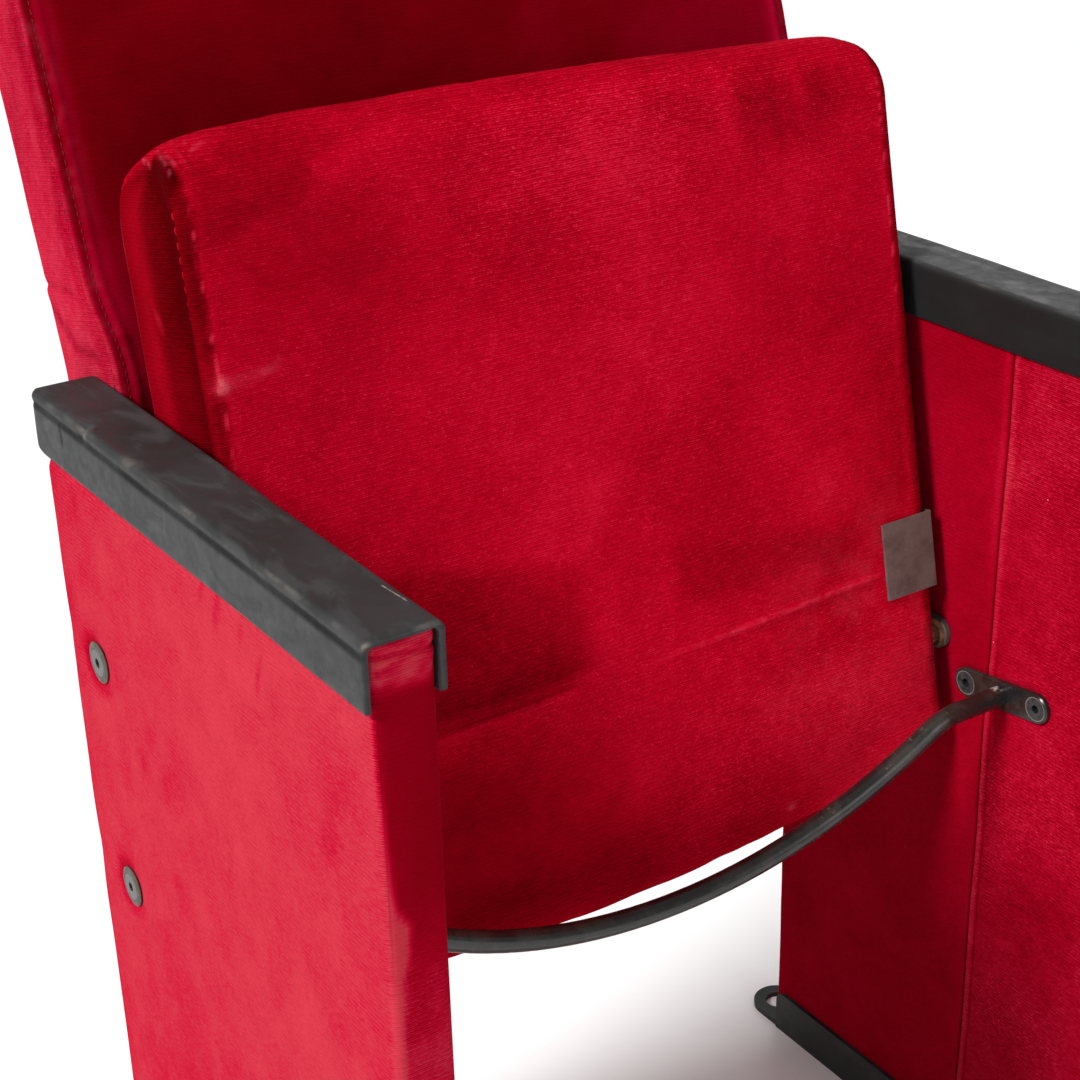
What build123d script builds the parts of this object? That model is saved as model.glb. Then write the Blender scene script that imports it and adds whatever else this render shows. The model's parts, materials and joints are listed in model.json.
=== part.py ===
from build123d import *
import os
from math import sin, cos, tan, radians, degrees, sqrt, atan2, asin, pi

# ---------------------------------------------------------------- driving dimensions (mm)
# +X is the sitter's left (viewer's right), +Y to the back, +Z up, floor at Z = 0.
# The numbers below are laid out with Y = 0 at the front end of the armrest caps;
# everything is moved back by Y_SHIFT at the end so that the origin is under the middle of the box.

# side panels
PANEL_IN = 239.5          # inner velvet face
PANEL_OUT = 271.5         # outer velvet face
PANEL_FRONT = 2.5
PANEL_REAR = 349.5
COVER_T = 4.0             # padded velvet skin on the panels
CAP_TOP = 634.7
CAP_OUT = 275.0
CAP_IN = 236.1
CAP_T = 3.0
CAP_DEPTH = 34.0
CAP_LEN = 358.0

# floor shoes
SHOE_IN = 236.5
SHOE_OUT = 274.5
SHOE_T = 2.9
SHOE_BASE = 4.0
SHOE_H = 33.4
SHOE_Y0, SHOE_Y1 = 7.0, 345.0      # the shoe's flanges
TAB_R = 18.0
HOLE_R = 9.0              # floor fixing holes, concentric with the tab ends
HOLE_Y_REAR = 366.0
HOLE_Y_FRONT = -14.0

# seat hinge
PIVOT_Y = 200.0
PIVOT_Z = 400.0
SEAT_LEAN = 11.2          # the tipped seat leans back by this
SEAT_HALF = 228.0
SEAT_V0 = -12.0           # underside plane, measured from the pivot axis
SEAT_V1 = 73.0            # sitting plane, measured from the pivot axis
SEAT_U0 = -89.0           # lower (rear) edge, middle
SEAT_U0_SIDE = -69.0      # lower (rear) edge, at the sides
SEAT_U1 = 378.0           # front edge
SKIN = 2.0                # seat and back cover thickness
BOARD_EDGE = 8.0          # the boards of the seat and the back end this far inside their outlines
BOARD_T = 15.0
PIN_R = 6.0
BUSH_R = 7.5
HOUSING_R = 10.0
COLLAR_R = 9.4
PLATE_R = 10.5
PAD_T = 2.0
PAD_U0, PAD_U1 = 36.0, 84.0

# cross bar
BAR_Y, BAR_Z = 141.6, 379.8
BAR_R = 6.4
BAR_WALL = 2.0
BAR_TILT = 7.4            # the end plates slope down to the rear by this
BAR_LEAN = -6.0           # the plane of the bend leans back by this
BAR_DROP = 58.4           # the middle hangs this far below the ends
BAR_ARC_R = 336.0
BAR_KNEE_X = 190.0
BAR_PLATE_T = 3.2
BAR_PLATE_L = 78.4
BAR_PLATE_W = 19.4
BAR_BOLT_PITCH = 59.4

# backrest, upper bolt and lower bolt on the panels
BOLT_UP = (311.0, 491.2)
BOLT_LOW = (302.6, 352.6)
BACK_LEAN = 18.3
BACK_LOW_LEAN = 4.0
BACK_Z0 = 440.0
BACK_Z1 = 897.0
BACK_REAR_REF = (436.6, 767.7)    # a point on the upper rear line
BACK_REAR_LOW = (372.0, 440.0)    # the lower end of the rear line
BACK_FRONT_REF = (332.0, 660.0)   # the lower end of the upper front line
BACK_HALF_LOW = 235.0
BACK_HALF_TOP = 242.0
BACK_BOARD_T = 12.0
BRACKET_T = 4.0
NOTCH_Y = 361.0           # the narrow part ends here, behind the panels and caps

M8_R = 4.0
M8_HEAD_R = 8.0
CUP_R = 11.8

Y_SHIFT = 221.76          # half way between the front floor tabs and the rear of the backrest


# ---------------------------------------------------------------- helpers
def block(x0, x1, y0, y1, z0, z1):
    return Pos((x0 + x1) / 2, (y0 + y1) / 2, (z0 + z1) / 2) * Box(abs(x1 - x0), abs(y1 - y0), abs(z1 - z0))


def rod_x(x0, x1, y, z, r):
    return Pos((x0 + x1) / 2, y, z) * Rot(0, 90, 0) * Cylinder(r, abs(x1 - x0))


def rod_z(x, y, z0, z1, r):
    return Pos(x, y, (z0 + z1) / 2) * Cylinder(r, abs(z1 - z0))


def rod_y(x, z, y0, y1, r):
    return Pos(x, (y0 + y1) / 2, z) * Rot(90, 0, 0) * Cylinder(r, abs(y1 - y0))


def cone_x(x0, r0, x1, r1, y, z):
    # frustum along X, radius r0 at x0 and r1 at x1
    p = make_face(Polyline([(x0, 0), (x0, r0), (x1, r1), (x1, 0), (x0, 0)]))
    return Pos(0, y, z) * revolve(p, Axis.X)


def hex_hole_x(x0, x1, y, z, af):
    return extrude(Plane(origin=(x0, y, z), x_dir=(0, 1, 0), z_dir=(1, 0, 0))
                   * RegularPolygon(af / 2, 6, major_radius=False), amount=x1 - x0)


def prism_x(face, x0, x1):
    # face drawn with local x = Y and local y = Z, extruded along X
    return extrude(Plane(origin=(x0, 0, 0), x_dir=(0, 1, 0), z_dir=(1, 0, 0)) * face, amount=x1 - x0)


def prism_y(face, y0, y1):
    # face drawn with local x = X and local y = Z, extruded along Y
    return extrude(Plane(origin=(0, y0, 0), x_dir=(1, 0, 0), z_dir=(0, -1, 0)) * face, amount=-(y1 - y0))


def mirrored(shape):
    return mirror(shape, about=Plane.YZ)


def solids_of(shape):
    return list(shape.solids())


OUT = {}


def put(name, *shapes):
    sol = []
    for s in shapes:
        sol += solids_of(s)
    OUT[name] = sol


def stadium(l, w):
    return SlotOverall(l, w)


# ---------------------------------------------------------------- side panels (right one first)
core_x0, core_x1 = PANEL_IN + COVER_T, PANEL_OUT - COVER_T
core_y0, core_y1 = PANEL_FRONT + COVER_T, PANEL_REAR - COVER_T
core_z0, core_z1 = SHOE_BASE, CAP_TOP - CAP_T - 1.0
panel_x = (PANEL_IN + PANEL_OUT) / 2

core = block(core_x0, core_x1, core_y0, core_y1, core_z0, core_z1)
sleeve_sk = Rectangle(PANEL_OUT - PANEL_IN, PANEL_REAR - PANEL_FRONT)
sleeve_sk = fillet(sleeve_sk.vertices(), 3.5)
sleeve = Pos(panel_x, (PANEL_FRONT + PANEL_REAR) / 2, core_z0) * extrude(sleeve_sk, amount=core_z1 - core_z0)
sleeve = sleeve - core

# armrest cap: a channel of sheet, open at both ends, lower rear corners rounded
cap_sk = Rectangle(CAP_OUT - CAP_IN, CAP_DEPTH)
cap_sk = fillet(cap_sk.vertices().sort_by(Axis.Y)[-2:], 3.5)
cap_in = Pos(0, -CAP_T) * Rectangle(CAP_OUT - CAP_IN - 2 * CAP_T, CAP_DEPTH)
cap_in = fillet(cap_in.vertices().sort_by(Axis.Y)[-2:], 1.0)
cap_x = (CAP_OUT + CAP_IN) / 2
cap = prism_y(Pos(cap_x, CAP_TOP - CAP_DEPTH / 2) * (cap_sk - cap_in), 0, CAP_LEN)
side_sk = Pos(CAP_LEN / 2, CAP_TOP - CAP_DEPTH / 2) * Rectangle(CAP_LEN, CAP_DEPTH)
side_sk = fillet(side_sk.vertices().sort_by(Axis.Y)[:2].sort_by(Axis.X)[-1:], 10.0)
cap = cap & prism_x(side_sk, CAP_IN - 1, CAP_OUT + 1)
plan_sk = Pos(cap_x, CAP_LEN / 2) * Rectangle(CAP_OUT - CAP_IN, CAP_LEN)
plan_sk = fillet(plan_sk.vertices().sort_by(Axis.Y)[-2:], 6.0)
cap = cap & (Pos(0, 0, CAP_TOP - CAP_DEPTH - 1) * extrude(plan_sk, amount=CAP_DEPTH + 2))

# floor shoe: channel with a base, and a round-ended tab with a fixing hole at each end
shoe_sk = (Pos(panel_x, SHOE_H / 2) * Rectangle(SHOE_OUT - SHOE_IN, SHOE_H)
           - Pos(panel_x, SHOE_BASE + SHOE_H / 2) * Rectangle(SHOE_OUT - SHOE_IN - 2 * SHOE_T, SHOE_H))
shoe = prism_y(shoe_sk, SHOE_Y0, SHOE_Y1)
fl = Pos((SHOE_Y0 + SHOE_Y1) / 2, SHOE_H / 2) * Rectangle(SHOE_Y1 - SHOE_Y0, SHOE_H)
fl = fillet(fl.vertices().sort_by(Axis.Y)[-2:], 8.0)
shoe = shoe & prism_x(fl, SHOE_IN - 1, SHOE_OUT + 1)
tab_len = HOLE_Y_REAR - HOLE_Y_FRONT + 2 * TAB_R
tab = Pos(panel_x, (HOLE_Y_REAR + HOLE_Y_FRONT) / 2, 0) * extrude(Rot(0, 0, 90) * stadium(tab_len, 2 * TAB_R), amount=SHOE_BASE)
shoe = shoe + tab
for y in (HOLE_Y_FRONT, HOLE_Y_REAR):
    shoe = shoe - rod_z(panel_x, y, -1, SHOE_BASE + 1, HOLE_R)

# wood screws up through the shoe
SHOE_SCREW_Y = (60.0, 176.0, 292.0)
shoe_screws = []
for y in SHOE_SCREW_Y:
    prof = make_face(Polyline([(0, 0.3), (5.0, 0.3), (2.5, 3.0), (2.5, 38), (0.3, 44), (0, 44), (0, 0.3)]))
    s = Pos(panel_x, y, 0) * revolve(Plane.XZ * prof, Axis.Z)
    s = s - Pos(panel_x, y, 0.3) * extrude(Rectangle(6, 1.2) + Rectangle(1.2, 6), amount=1.6)
    shoe_screws.append(s)
    room = Pos(panel_x, y, 0) * revolve(Plane.XZ * make_face(Polyline([(0, 0), (5.3, 0), (5.0, 0.3), (2.5, 3.0), (2.5, 38), (0.3, 44), (0, 44), (0, 0)])), Axis.Z)
    shoe = shoe - room
    core = core - room


# ---------------------------------------------------------------- countersunk hex-socket bolts
def csk_bolt(face_x, tip_x, y, z, r=M8_R, head_r=M8_HEAD_R, af=5.0):
    # head face at face_x, tip at tip_x, along X; a 90 degree head
    d = 1 if tip_x > face_x else -1
    h = head_r - r
    body = cone_x(face_x, head_r, face_x + d * h, r, y, z) + rod_x(face_x + d * (h - 0.01), tip_x, y, z, r)
    sock = hex_hole_x(min(face_x, face_x + d * 3.2), max(face_x, face_x + d * 3.2), y, z, af)
    return body - sock


def csk_room(face_x, tip_x, y, z, r=M8_R, head_r=M8_HEAD_R):
    d = 1 if tip_x > face_x else -1
    h = head_r - r
    return cone_x(face_x, head_r, face_x + d * h, r, y, z) + rod_x(face_x + d * (h - 0.01), tip_x, y, z, r)


# ---------------------------------------------------------------- cross bar and its end plates
bt = radians(BAR_TILT)
bl = radians(BAR_LEAN)


def bar_pt(x, s):
    # s is the drop, measured in the bar's own leaning plane
    return (x, BAR_Y - s * sin(bl), BAR_Z - s * cos(bl))


bar_plane = Plane(origin=(0, BAR_Y, BAR_Z), x_dir=(1, 0, 0), z_dir=(0, -cos(bl), sin(bl)))
# local y of this plane points up, so drops are negative
cy = -BAR_DROP + BAR_ARC_R            # arc centre height over the ends
dist = sqrt(BAR_KNEE_X ** 2 + cy ** 2)
tl = sqrt(dist ** 2 - BAR_ARC_R ** 2)
a_c = atan2(-cy, BAR_KNEE_X)          # direction centre -> knee
a_t = a_c - asin(tl / dist)
T = (BAR_ARC_R * cos(a_t), cy + BAR_ARC_R * sin(a_t))
bar_end_x = PANEL_IN - BAR_PLATE_T
knee_dir = (T[0] - BAR_KNEE_X, T[1])
kl = sqrt(knee_dir[0] ** 2 + knee_dir[1] ** 2)
kd = (knee_dir[0] / kl, knee_dir[1] / kl)
turn = atan2(-kd[1], -kd[0])
KNEE_R = 45.0
kt = KNEE_R * tan(turn / 2)
k0 = (BAR_KNEE_X + kt, 0.0)
k1 = (BAR_KNEE_X + kt * kd[0], kt * kd[1])
half = [
    Line((bar_end_x, 0), k0),
    TangentArc(k0, k1, tangent=(-1, 0)),
    Line(k1, T),
]
mid_arc = ThreePointArc(T, (0, -BAR_DROP), (-T[0], T[1]))
other = [
    Line((-T[0], T[1]), (-k1[0], k1[1])),
    TangentArc((-k0[0], 0), (-k1[0], k1[1]), tangent=(1, 0)),
    Line((-k0[0], 0), (-bar_end_x, 0)),
]
bar_wire = Wire([(bar_plane * e).edge() for e in half + [mid_arc] + other])
bar_sec = Plane(origin=(bar_end_x, BAR_Y, BAR_Z), x_dir=(0, 1, 0), z_dir=(-1, 0, 0))
bar_out = sweep(bar_sec * Circle(BAR_R), path=bar_wire)
bar_inn = sweep(bar_sec * Circle(BAR_R - BAR_WALL), path=bar_wire)
cross_bar = bar_out - bar_inn

plate_loc = Plane(origin=(PANEL_IN - BAR_PLATE_T, BAR_Y, BAR_Z), x_dir=(0, cos(bt), -sin(bt)), z_dir=(1, 0, 0))
bar_plate = extrude(plate_loc * stadium(BAR_PLATE_L, BAR_PLATE_W), amount=BAR_PLATE_T)
bar_plate = chamfer(bar_plate.faces().sort_by(Axis.X)[0].edges(), 0.8)
bar_bolt_at = [(BAR_Y + s * BAR_BOLT_PITCH / 2 * cos(bt), BAR_Z - s * BAR_BOLT_PITCH / 2 * sin(bt)) for s in (-1, 1)]
bar_bolts, bar_nuts = [], []
for (y, z) in bar_bolt_at:
    b = csk_bolt(PANEL_IN - BAR_PLATE_T + 0.2, 262.0, y, z)
    room = csk_room(PANEL_IN - BAR_PLATE_T + 0.2, 262.0, y, z) + rod_x(PANEL_IN - BAR_PLATE_T - 0.5, PANEL_IN - BAR_PLATE_T + 0.2, y, z, M8_HEAD_R)
    bar_bolts.append(b)
    n = rod_x(core_x0, 260.0, y, z, 6.5) + rod_x(core_x0, core_x0 + 1.2, y, z, 9.0)
    core = core - n - room
    bar_nuts.append(n - rod_x(PANEL_IN, 262.0, y, z, M8_R))
    bar_plate = bar_plate - room
    sleeve = sleeve - room

# ---------------------------------------------------------------- pivot plate and pin
PP_X0 = PANEL_IN - 4.0
pp_sk = Pos(PIVOT_Y, PIVOT_Z) * (Circle(PLATE_R) + Pos(33, 0) * stadium(66 + 2 * PLATE_R, 2 * PLATE_R))
pivot_plate = prism_x(pp_sk, PP_X0, PANEL_IN)
pivot_plate = chamfer(pivot_plate.faces().sort_by(Axis.X)[0].edges(), 0.6)
pivot_plate = pivot_plate - rod_x(PP_X0 - 1, PANEL_IN + 1, PIVOT_Y, PIVOT_Z, PIN_R)
PIN_TIP = 166.0
pivot_pin = rod_x(PIN_TIP, PANEL_IN, PIVOT_Y, PIVOT_Z, PIN_R)
collar = rod_x(PP_X0 - 3.0, PP_X0, PIVOT_Y, PIVOT_Z, COLLAR_R)
collar = chamfer(collar.edges().filter_by(GeomType.CIRCLE).sort_by(Axis.X)[:1], 1.0)
pivot_pin = pivot_pin + collar
pivot_pin = pivot_pin - block(PIN_TIP - 1, PIN_TIP + 6, PIVOT_Y - 1.5, PIVOT_Y + 1.5, PIVOT_Z - 8, PIVOT_Z + 8)
pivot_pin = pivot_pin - (rod_x(PIN_TIP, PIN_TIP + 1, PIVOT_Y, PIVOT_Z, PIN_R + 1) - cone_x(PIN_TIP, PIN_R - 1, PIN_TIP + 1, PIN_R, PIVOT_Y, PIVOT_Z))
pivot_bolts, pivot_nuts = [], []
for dy in (26.0, 46.0, 66.0):
    y, z = PIVOT_Y + dy, PIVOT_Z
    b = csk_bolt(PP_X0 + 0.2, 256.0, y, z, r=3.0, head_r=6.0, af=4.0)
    room = csk_room(PP_X0 + 0.2, 256.0, y, z, r=3.0, head_r=6.0) + rod_x(PP_X0 - 0.5, PP_X0 + 0.2, y, z, 6.0)
    pivot_bolts.append(b)
    n = rod_x(core_x0, 254.0, y, z, 5.0) + rod_x(core_x0, core_x0 + 1.0, y, z, 7.0)
    core = core - n - room
    pivot_nuts.append(n - rod_x(PANEL_IN, 256.0, y, z, 3.0))
    pivot_plate = pivot_plate - room
    sleeve = sleeve - room

# ---------------------------------------------------------------- backrest outline
tb, tw = tan(radians(BACK_LEAN)), tan(radians(BACK_LOW_LEAN))
BEND_R = 340.0


def rear_y(z):
    return BACK_REAR_REF[0] + tb * (z - BACK_REAR_REF[1])


def low_y(z):
    return BACK_REAR_LOW[0] + tw * (z - BACK_REAR_LOW[1])


z_b = (BACK_REAR_LOW[0] - BACK_REAR_REF[0] + tb * BACK_REAR_REF[1] - tw * BACK_REAR_LOW[1]) / (tb - tw)
bend_t = BEND_R * tan(radians(BACK_LEAN - BACK_LOW_LEAN) / 2)
q0 = (low_y(z_b - bend_t * cos(radians(BACK_LOW_LEAN))), z_b - bend_t * cos(radians(BACK_LOW_LEAN)))
q1 = (rear_y(z_b + bend_t * cos(radians(BACK_LEAN))), z_b + bend_t * cos(radians(BACK_LEAN)))


def front_y(z):
    return BACK_FRONT_REF[0] + tb * (z - BACK_FRONT_REF[1])


def back_profile(d):
    # closed outline in (Y, Z), pulled in by d all round; front side swells at the loins
    zb, zt = BACK_Z0 + d, BACK_Z1 - d
    f = [(334.0, 440.0), (331.5, 500.0), (325.5, 560.0), (325.5, 615.0), (332.0, 660.0)]
    dl = d / cos(radians(BACK_LEAN))
    pts = [(y + d, z) for (y, z) in f[1:-1]]
    p_bot = (334.0 + d, zb)
    p_up = (front_y(660.0) + dl, 660.0)
    rear = [
        Line((low_y(zb) - d, zb), (q0[0] - d, q0[1])),
        TangentArc((q0[0] - d, q0[1]), (q1[0] - dl, q1[1]), tangent=(sin(radians(BACK_LOW_LEAN)), cos(radians(BACK_LOW_LEAN)))),
        Line((q1[0] - dl, q1[1]), (rear_y(zt) - dl, zt)),
    ]
    top = Line((rear_y(zt) - dl, zt), (front_y(zt) + dl, zt))
    up = Line((front_y(zt) + dl, zt), p_up)
    low = Spline([p_up] + pts[::-1] + [p_bot], tangents=[(-sin(radians(BACK_LEAN)), -cos(radians(BACK_LEAN))), (0.0, -1)])
    bot = Line(p_bot, (low_y(zb) - d, zb))
    f2 = make_face(rear + [top, up, low, bot])
    tops = f2.vertices().sort_by(Axis.Y)[-2:].sort_by(Axis.X)
    f2 = fillet(tops[0], 24.0 - d)
    tops = f2.vertices().sort_by(Axis.X)[-2:].sort_by(Axis.Y)
    f2 = fillet(tops[-1], 10.0 - d)
    return f2


def back_outline(d):
    zb, zt = BACK_Z0 + d, BACK_Z1 - d
    hi = BACK_HALF_TOP - d
    sk = make_face(Polyline([(-hi, zb), (hi, zb), (hi, zt), (-hi, zt), (-hi, zb)]))
    return fillet(sk.vertices().sort_by(Axis.Y)[-2:], 26.0 - d)


def back_notch(d):
    # where the back passes between the side panels and their caps it is narrower
    lo, hi = BACK_HALF_LOW - d, BACK_HALF_TOP - d
    sk = make_face(Polyline([(lo, 400.0), (lo, 640.0 - 0.4 * d), (hi, 690.0), (300.0, 690.0), (300.0, 400.0), (lo, 400.0)]))
    return prism_y(sk, 250, NOTCH_Y + d)


def back_solid(d):
    b = prism_x(back_profile(d), -260, 260) & prism_y(back_outline(d), 250, 560)
    n = back_notch(d)
    return b - n - mirrored(n)


back_outer = back_solid(0.0)
back_inner = back_solid(SKIN)


def band(off):
    # everything behind the line that lies off in front of the rear face
    e = [
        Line((low_y(400.0) - off, 400.0), (q0[0] - off, q0[1])),
        TangentArc((q0[0] - off, q0[1]), (q1[0] - off / cos(radians(BACK_LEAN)), q1[1]), tangent=(sin(radians(BACK_LOW_LEAN)), cos(radians(BACK_LOW_LEAN)))),
        Line((q1[0] - off / cos(radians(BACK_LEAN)), q1[1]), (rear_y(950.0) - off / cos(radians(BACK_LEAN)), 950.0)),
        Line((rear_y(950.0) - off / cos(radians(BACK_LEAN)), 950.0), (600.0, 950.0)),
        Line((600.0, 950.0), (600.0, 400.0)),
        Line((600.0, 400.0), (low_y(400.0) - off, 400.0)),
    ]
    return prism_x(make_face(e), -270, 270)


rear_band = band(SKIN + BACK_BOARD_T)
# the board ends BOARD_EDGE inside the outline; the foam wraps round its edge
board_area = block(-BACK_HALF_TOP + BOARD_EDGE, BACK_HALF_TOP - BOARD_EDGE, 200, 600, BACK_Z0 + BOARD_EDGE, BACK_Z1 - BOARD_EDGE)
board_area = fillet(board_area.edges().filter_by(Axis.Y).group_by(Axis.Z)[-1], 20.0)
back_board = back_inner & rear_band & board_area
back_foam = back_inner - back_board
shell = back_outer - back_inner
back_rear_cover = shell & rear_band
back_front_cover = shell - rear_band

# ---------------------------------------------------------------- back brackets, bolts, buffers
BR_X0 = PANEL_IN - BRACKET_T
br_pts = [(BOLT_LOW[0] - 16, BOLT_LOW[1] - 6), (BOLT_LOW[0] - 16, BOLT_LOW[1] + 30), (BOLT_UP[0] - 19, BOLT_UP[1] - 30), (BOLT_UP[0] - 19, BOLT_UP[1] + 16),
          (338.0, 545.0), (338.0, 585.0), (low_y(585.0) - 18, 585.0), (low_y(450.0) - 18, 450.0), (BOLT_LOW[0] + 18, BOLT_LOW[1] + 20), (BOLT_LOW[0] + 16, BOLT_LOW[1] - 18)]
br_sk = make_face(Polyline(br_pts + [br_pts[0]]))
br_sk = fillet(br_sk.vertices(), 9.0)
back_bracket = prism_x(br_sk, BR_X0, PANEL_IN)
# two ears let into the foam, lying on the front of the board
ears = []
bracket_screws = []
ear_room = []
lw = radians(BACK_LOW_LEAN)
for zc in (470.0, 548.0):
    yb = low_y(zc) - SKIN - BACK_BOARD_T
    loc = Pos(0, yb, zc) * Rot(-BACK_LOW_LEAN, 0, 0)
    ear = loc * block(196.0, PANEL_IN, -BRACKET_T, 0.0, -17, 17)
    ears.append(ear)
    ear_room.append(loc * block(195.0, 240.0, -BRACKET_T - 0.3, 0.0, -17.5, 17.5))
    for (sx, sz) in ((205.0, 8.0), (219.0, -8.0)):
        prof = make_face(Polyline([(0, -7.0), (2.6, -7.0), (4.2, -5.6), (4.2, -4.0), (2.0, -4.0), (2.0, 8.0), (0.4, 10.5), (0, 10.5), (0, -7.0)]))
        s = loc * (Pos(sx, 0, sz) * revolve(prof, Axis.Y))
        s_room = s
        s = s - loc * (Pos(sx, -7.0, sz) * Rot(-90, 0, 0) * extrude(Rectangle(3.4, 0.9) + Rectangle(0.9, 3.4), amount=1.4))
        bracket_screws.append(s)
        ear_room.append(s_room)
for e in ears:
    back_bracket = back_bracket + e
for r in ear_room[:]:
    back_foam = back_foam - r
    back_front_cover = back_front_cover - r
for r in ear_room:
    if r.bounding_box().size.X < 20:
        back_bracket = back_bracket - r
        back_board = back_board - r
for r in [mirrored(x) for x in ear_room]:
    back_foam = back_foam - r
    back_front_cover = back_front_cover - r
    if r.bounding_box().size.X < 20:
        back_board = back_board - r

# the plate must not run inside the padded back: cut the back's sides clear of it
plate_room = prism_x(br_sk, BR_X0 - 0.3, PANEL_IN + 1)
for r in (plate_room, mirrored(plate_room)):
    back_foam = back_foam - r
    back_front_cover = back_front_cover - r

back_bolts, cup_washers = [], []
for i, (y, z) in enumerate((BOLT_UP, BOLT_LOW)):
    head = PANEL_OUT + 1.4
    tip = BR_X0 if i else 218.0
    b = csk_bolt(head, tip, y, z)
    back_bolts.append(b)
    cup_prof = make_face(Polyline([(PANEL_OUT + 0.1, CUP_R), (PANEL_OUT + 0.7, CUP_R), (head, M8_HEAD_R + 1.4), (head, M8_HEAD_R), (PANEL_OUT - 2.6, M8_R), (PANEL_OUT - 4.6, M8_R),
                                   (PANEL_OUT - 4.6, M8_R + 1.0), (PANEL_OUT + 0.1, CUP_R - 2.0), (PANEL_OUT + 0.1, CUP_R)]))
    cup = Pos(0, y, z) * revolve(cup_prof, Axis.X)
    cup_full = Pos(0, y, z) * revolve(make_face(Polyline([(PANEL_OUT - 4.6, 0), (PANEL_OUT - 4.6, M8_R + 1.0), (PANEL_OUT + 0.1, CUP_R - 2.0), (PANEL_OUT + 0.1, CUP_R), (PANEL_OUT + 3, CUP_R), (PANEL_OUT + 3, 0), (PANEL_OUT - 4.6, 0)])), Axis.X)
    cup_washers.append(cup)
    shank = rod_x(tip, head, y, z, M8_R)
    sleeve = sleeve - shank - cup_full
    core = core - shank - cup_full
    back_bracket = back_bracket - shank

sp, cp = sin(radians(SEAT_LEAN)), cos(radians(SEAT_LEAN))
buf_v = (BOLT_UP[0] - PIVOT_Y) * cp - (BOLT_UP[1] - PIVOT_Z) * sp
BUF_R = buf_v - SEAT_V1 - 0.4
stop_buffer = rod_x(213.0, BR_X0, BOLT_UP[0], BOLT_UP[1], BUF_R)
stop_buffer = fillet(stop_buffer.edges().filter_by(GeomType.CIRCLE).sort_by(Axis.X)[:1], 2.5)
stop_buffer = stop_buffer - rod_x(218.0, BR_X0 + 1, BOLT_UP[0], BOLT_UP[1], M8_R)

# ---------------------------------------------------------------- the seat, built upright on its pivot
# local x = X, y = away from the underside, z = towards the front edge


def seat_profile(d):
    # outline in (v, u): both front corners rolled
    sk = Pos((SEAT_V0 + SEAT_V1) / 2, (SEAT_U0 + SEAT_U1) / 2) * Rectangle(SEAT_V1 - SEAT_V0 - 2 * d, SEAT_U1 - SEAT_U0 - 2 * d + 0.0)
    vs = sk.vertices().sort_by(Axis.Y)
    top = vs[-2:].sort_by(Axis.X)
    sk = fillet(top[0], 38.0 - d)
    top = sk.vertices().sort_by(Axis.X)[-2:].sort_by(Axis.Y)
    sk = fillet(top[-1], 45.0 - d)
    low = sk.vertices().sort_by(Axis.Y)[:2].sort_by(Axis.X)
    sk = fillet(low[-1], 16.0 - d)
    return sk


def seat_outline(d):
    h = SEAT_HALF - d
    sag = SEAT_U0_SIDE - SEAT_U0
    r = (SEAT_HALF ** 2 + sag ** 2) / (2 * sag)
    # lower edge: a flat arc; the upper edge almost straight
    def lower(x):
        return SEAT_U0 + d + (r - d) - sqrt((r - d) ** 2 - x * x)
    top = SEAT_U1 - d
    edges = [
        ThreePointArc((-h, lower(h)), (0, SEAT_U0 + d), (h, lower(h))),
        Line((h, lower(h)), (h, top - 4.0)),
        ThreePointArc((h, top - 4.0), (0, top), (-h, top - 4.0)),
        Line((-h, top - 4.0), (-h, lower(h))),
    ]
    sk = make_face(edges)
    up = sk.vertices().sort_by(Axis.Y)[-2:]
    sk = fillet(up, 24.0 - d)
    dn = sk.vertices().sort_by(Axis.Y)[:2]
    sk = fillet(dn, 14.0 - d)
    return sk


def seat_solid(d):
    return prism_x(seat_profile(d), -SEAT_HALF + d, SEAT_HALF - d) & prism_y(seat_outline(d), SEAT_V0 - 5, SEAT_V1 + 5)


seat_outer = seat_solid(0.0)
seat_inner = seat_solid(SKIN)
bv0, bv1 = SEAT_V0 + SKIN, SEAT_V0 + SKIN + BOARD_T
# the board ends BOARD_EDGE inside the outline; the foam wraps round its edge
seat_board = prism_y(seat_outline(BOARD_EDGE), bv0, bv1) & block(-400, 400, bv0, bv1, -300, 330.0)
seat_foam = seat_inner - seat_board
seat_shell = seat_outer - seat_inner
under_zone = block(-SEAT_HALF + 4, SEAT_HALF - 4, SEAT_V0 - 1, bv0, -90.0, SEAT_U1 - 42.0)
under_zone = block(-400, 400, SEAT_V0 - 1, bv0, -300, SEAT_U1 - 40.0)
seat_under_cover = seat_shell & under_zone
seat_top_cover = seat_shell - under_zone

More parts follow.
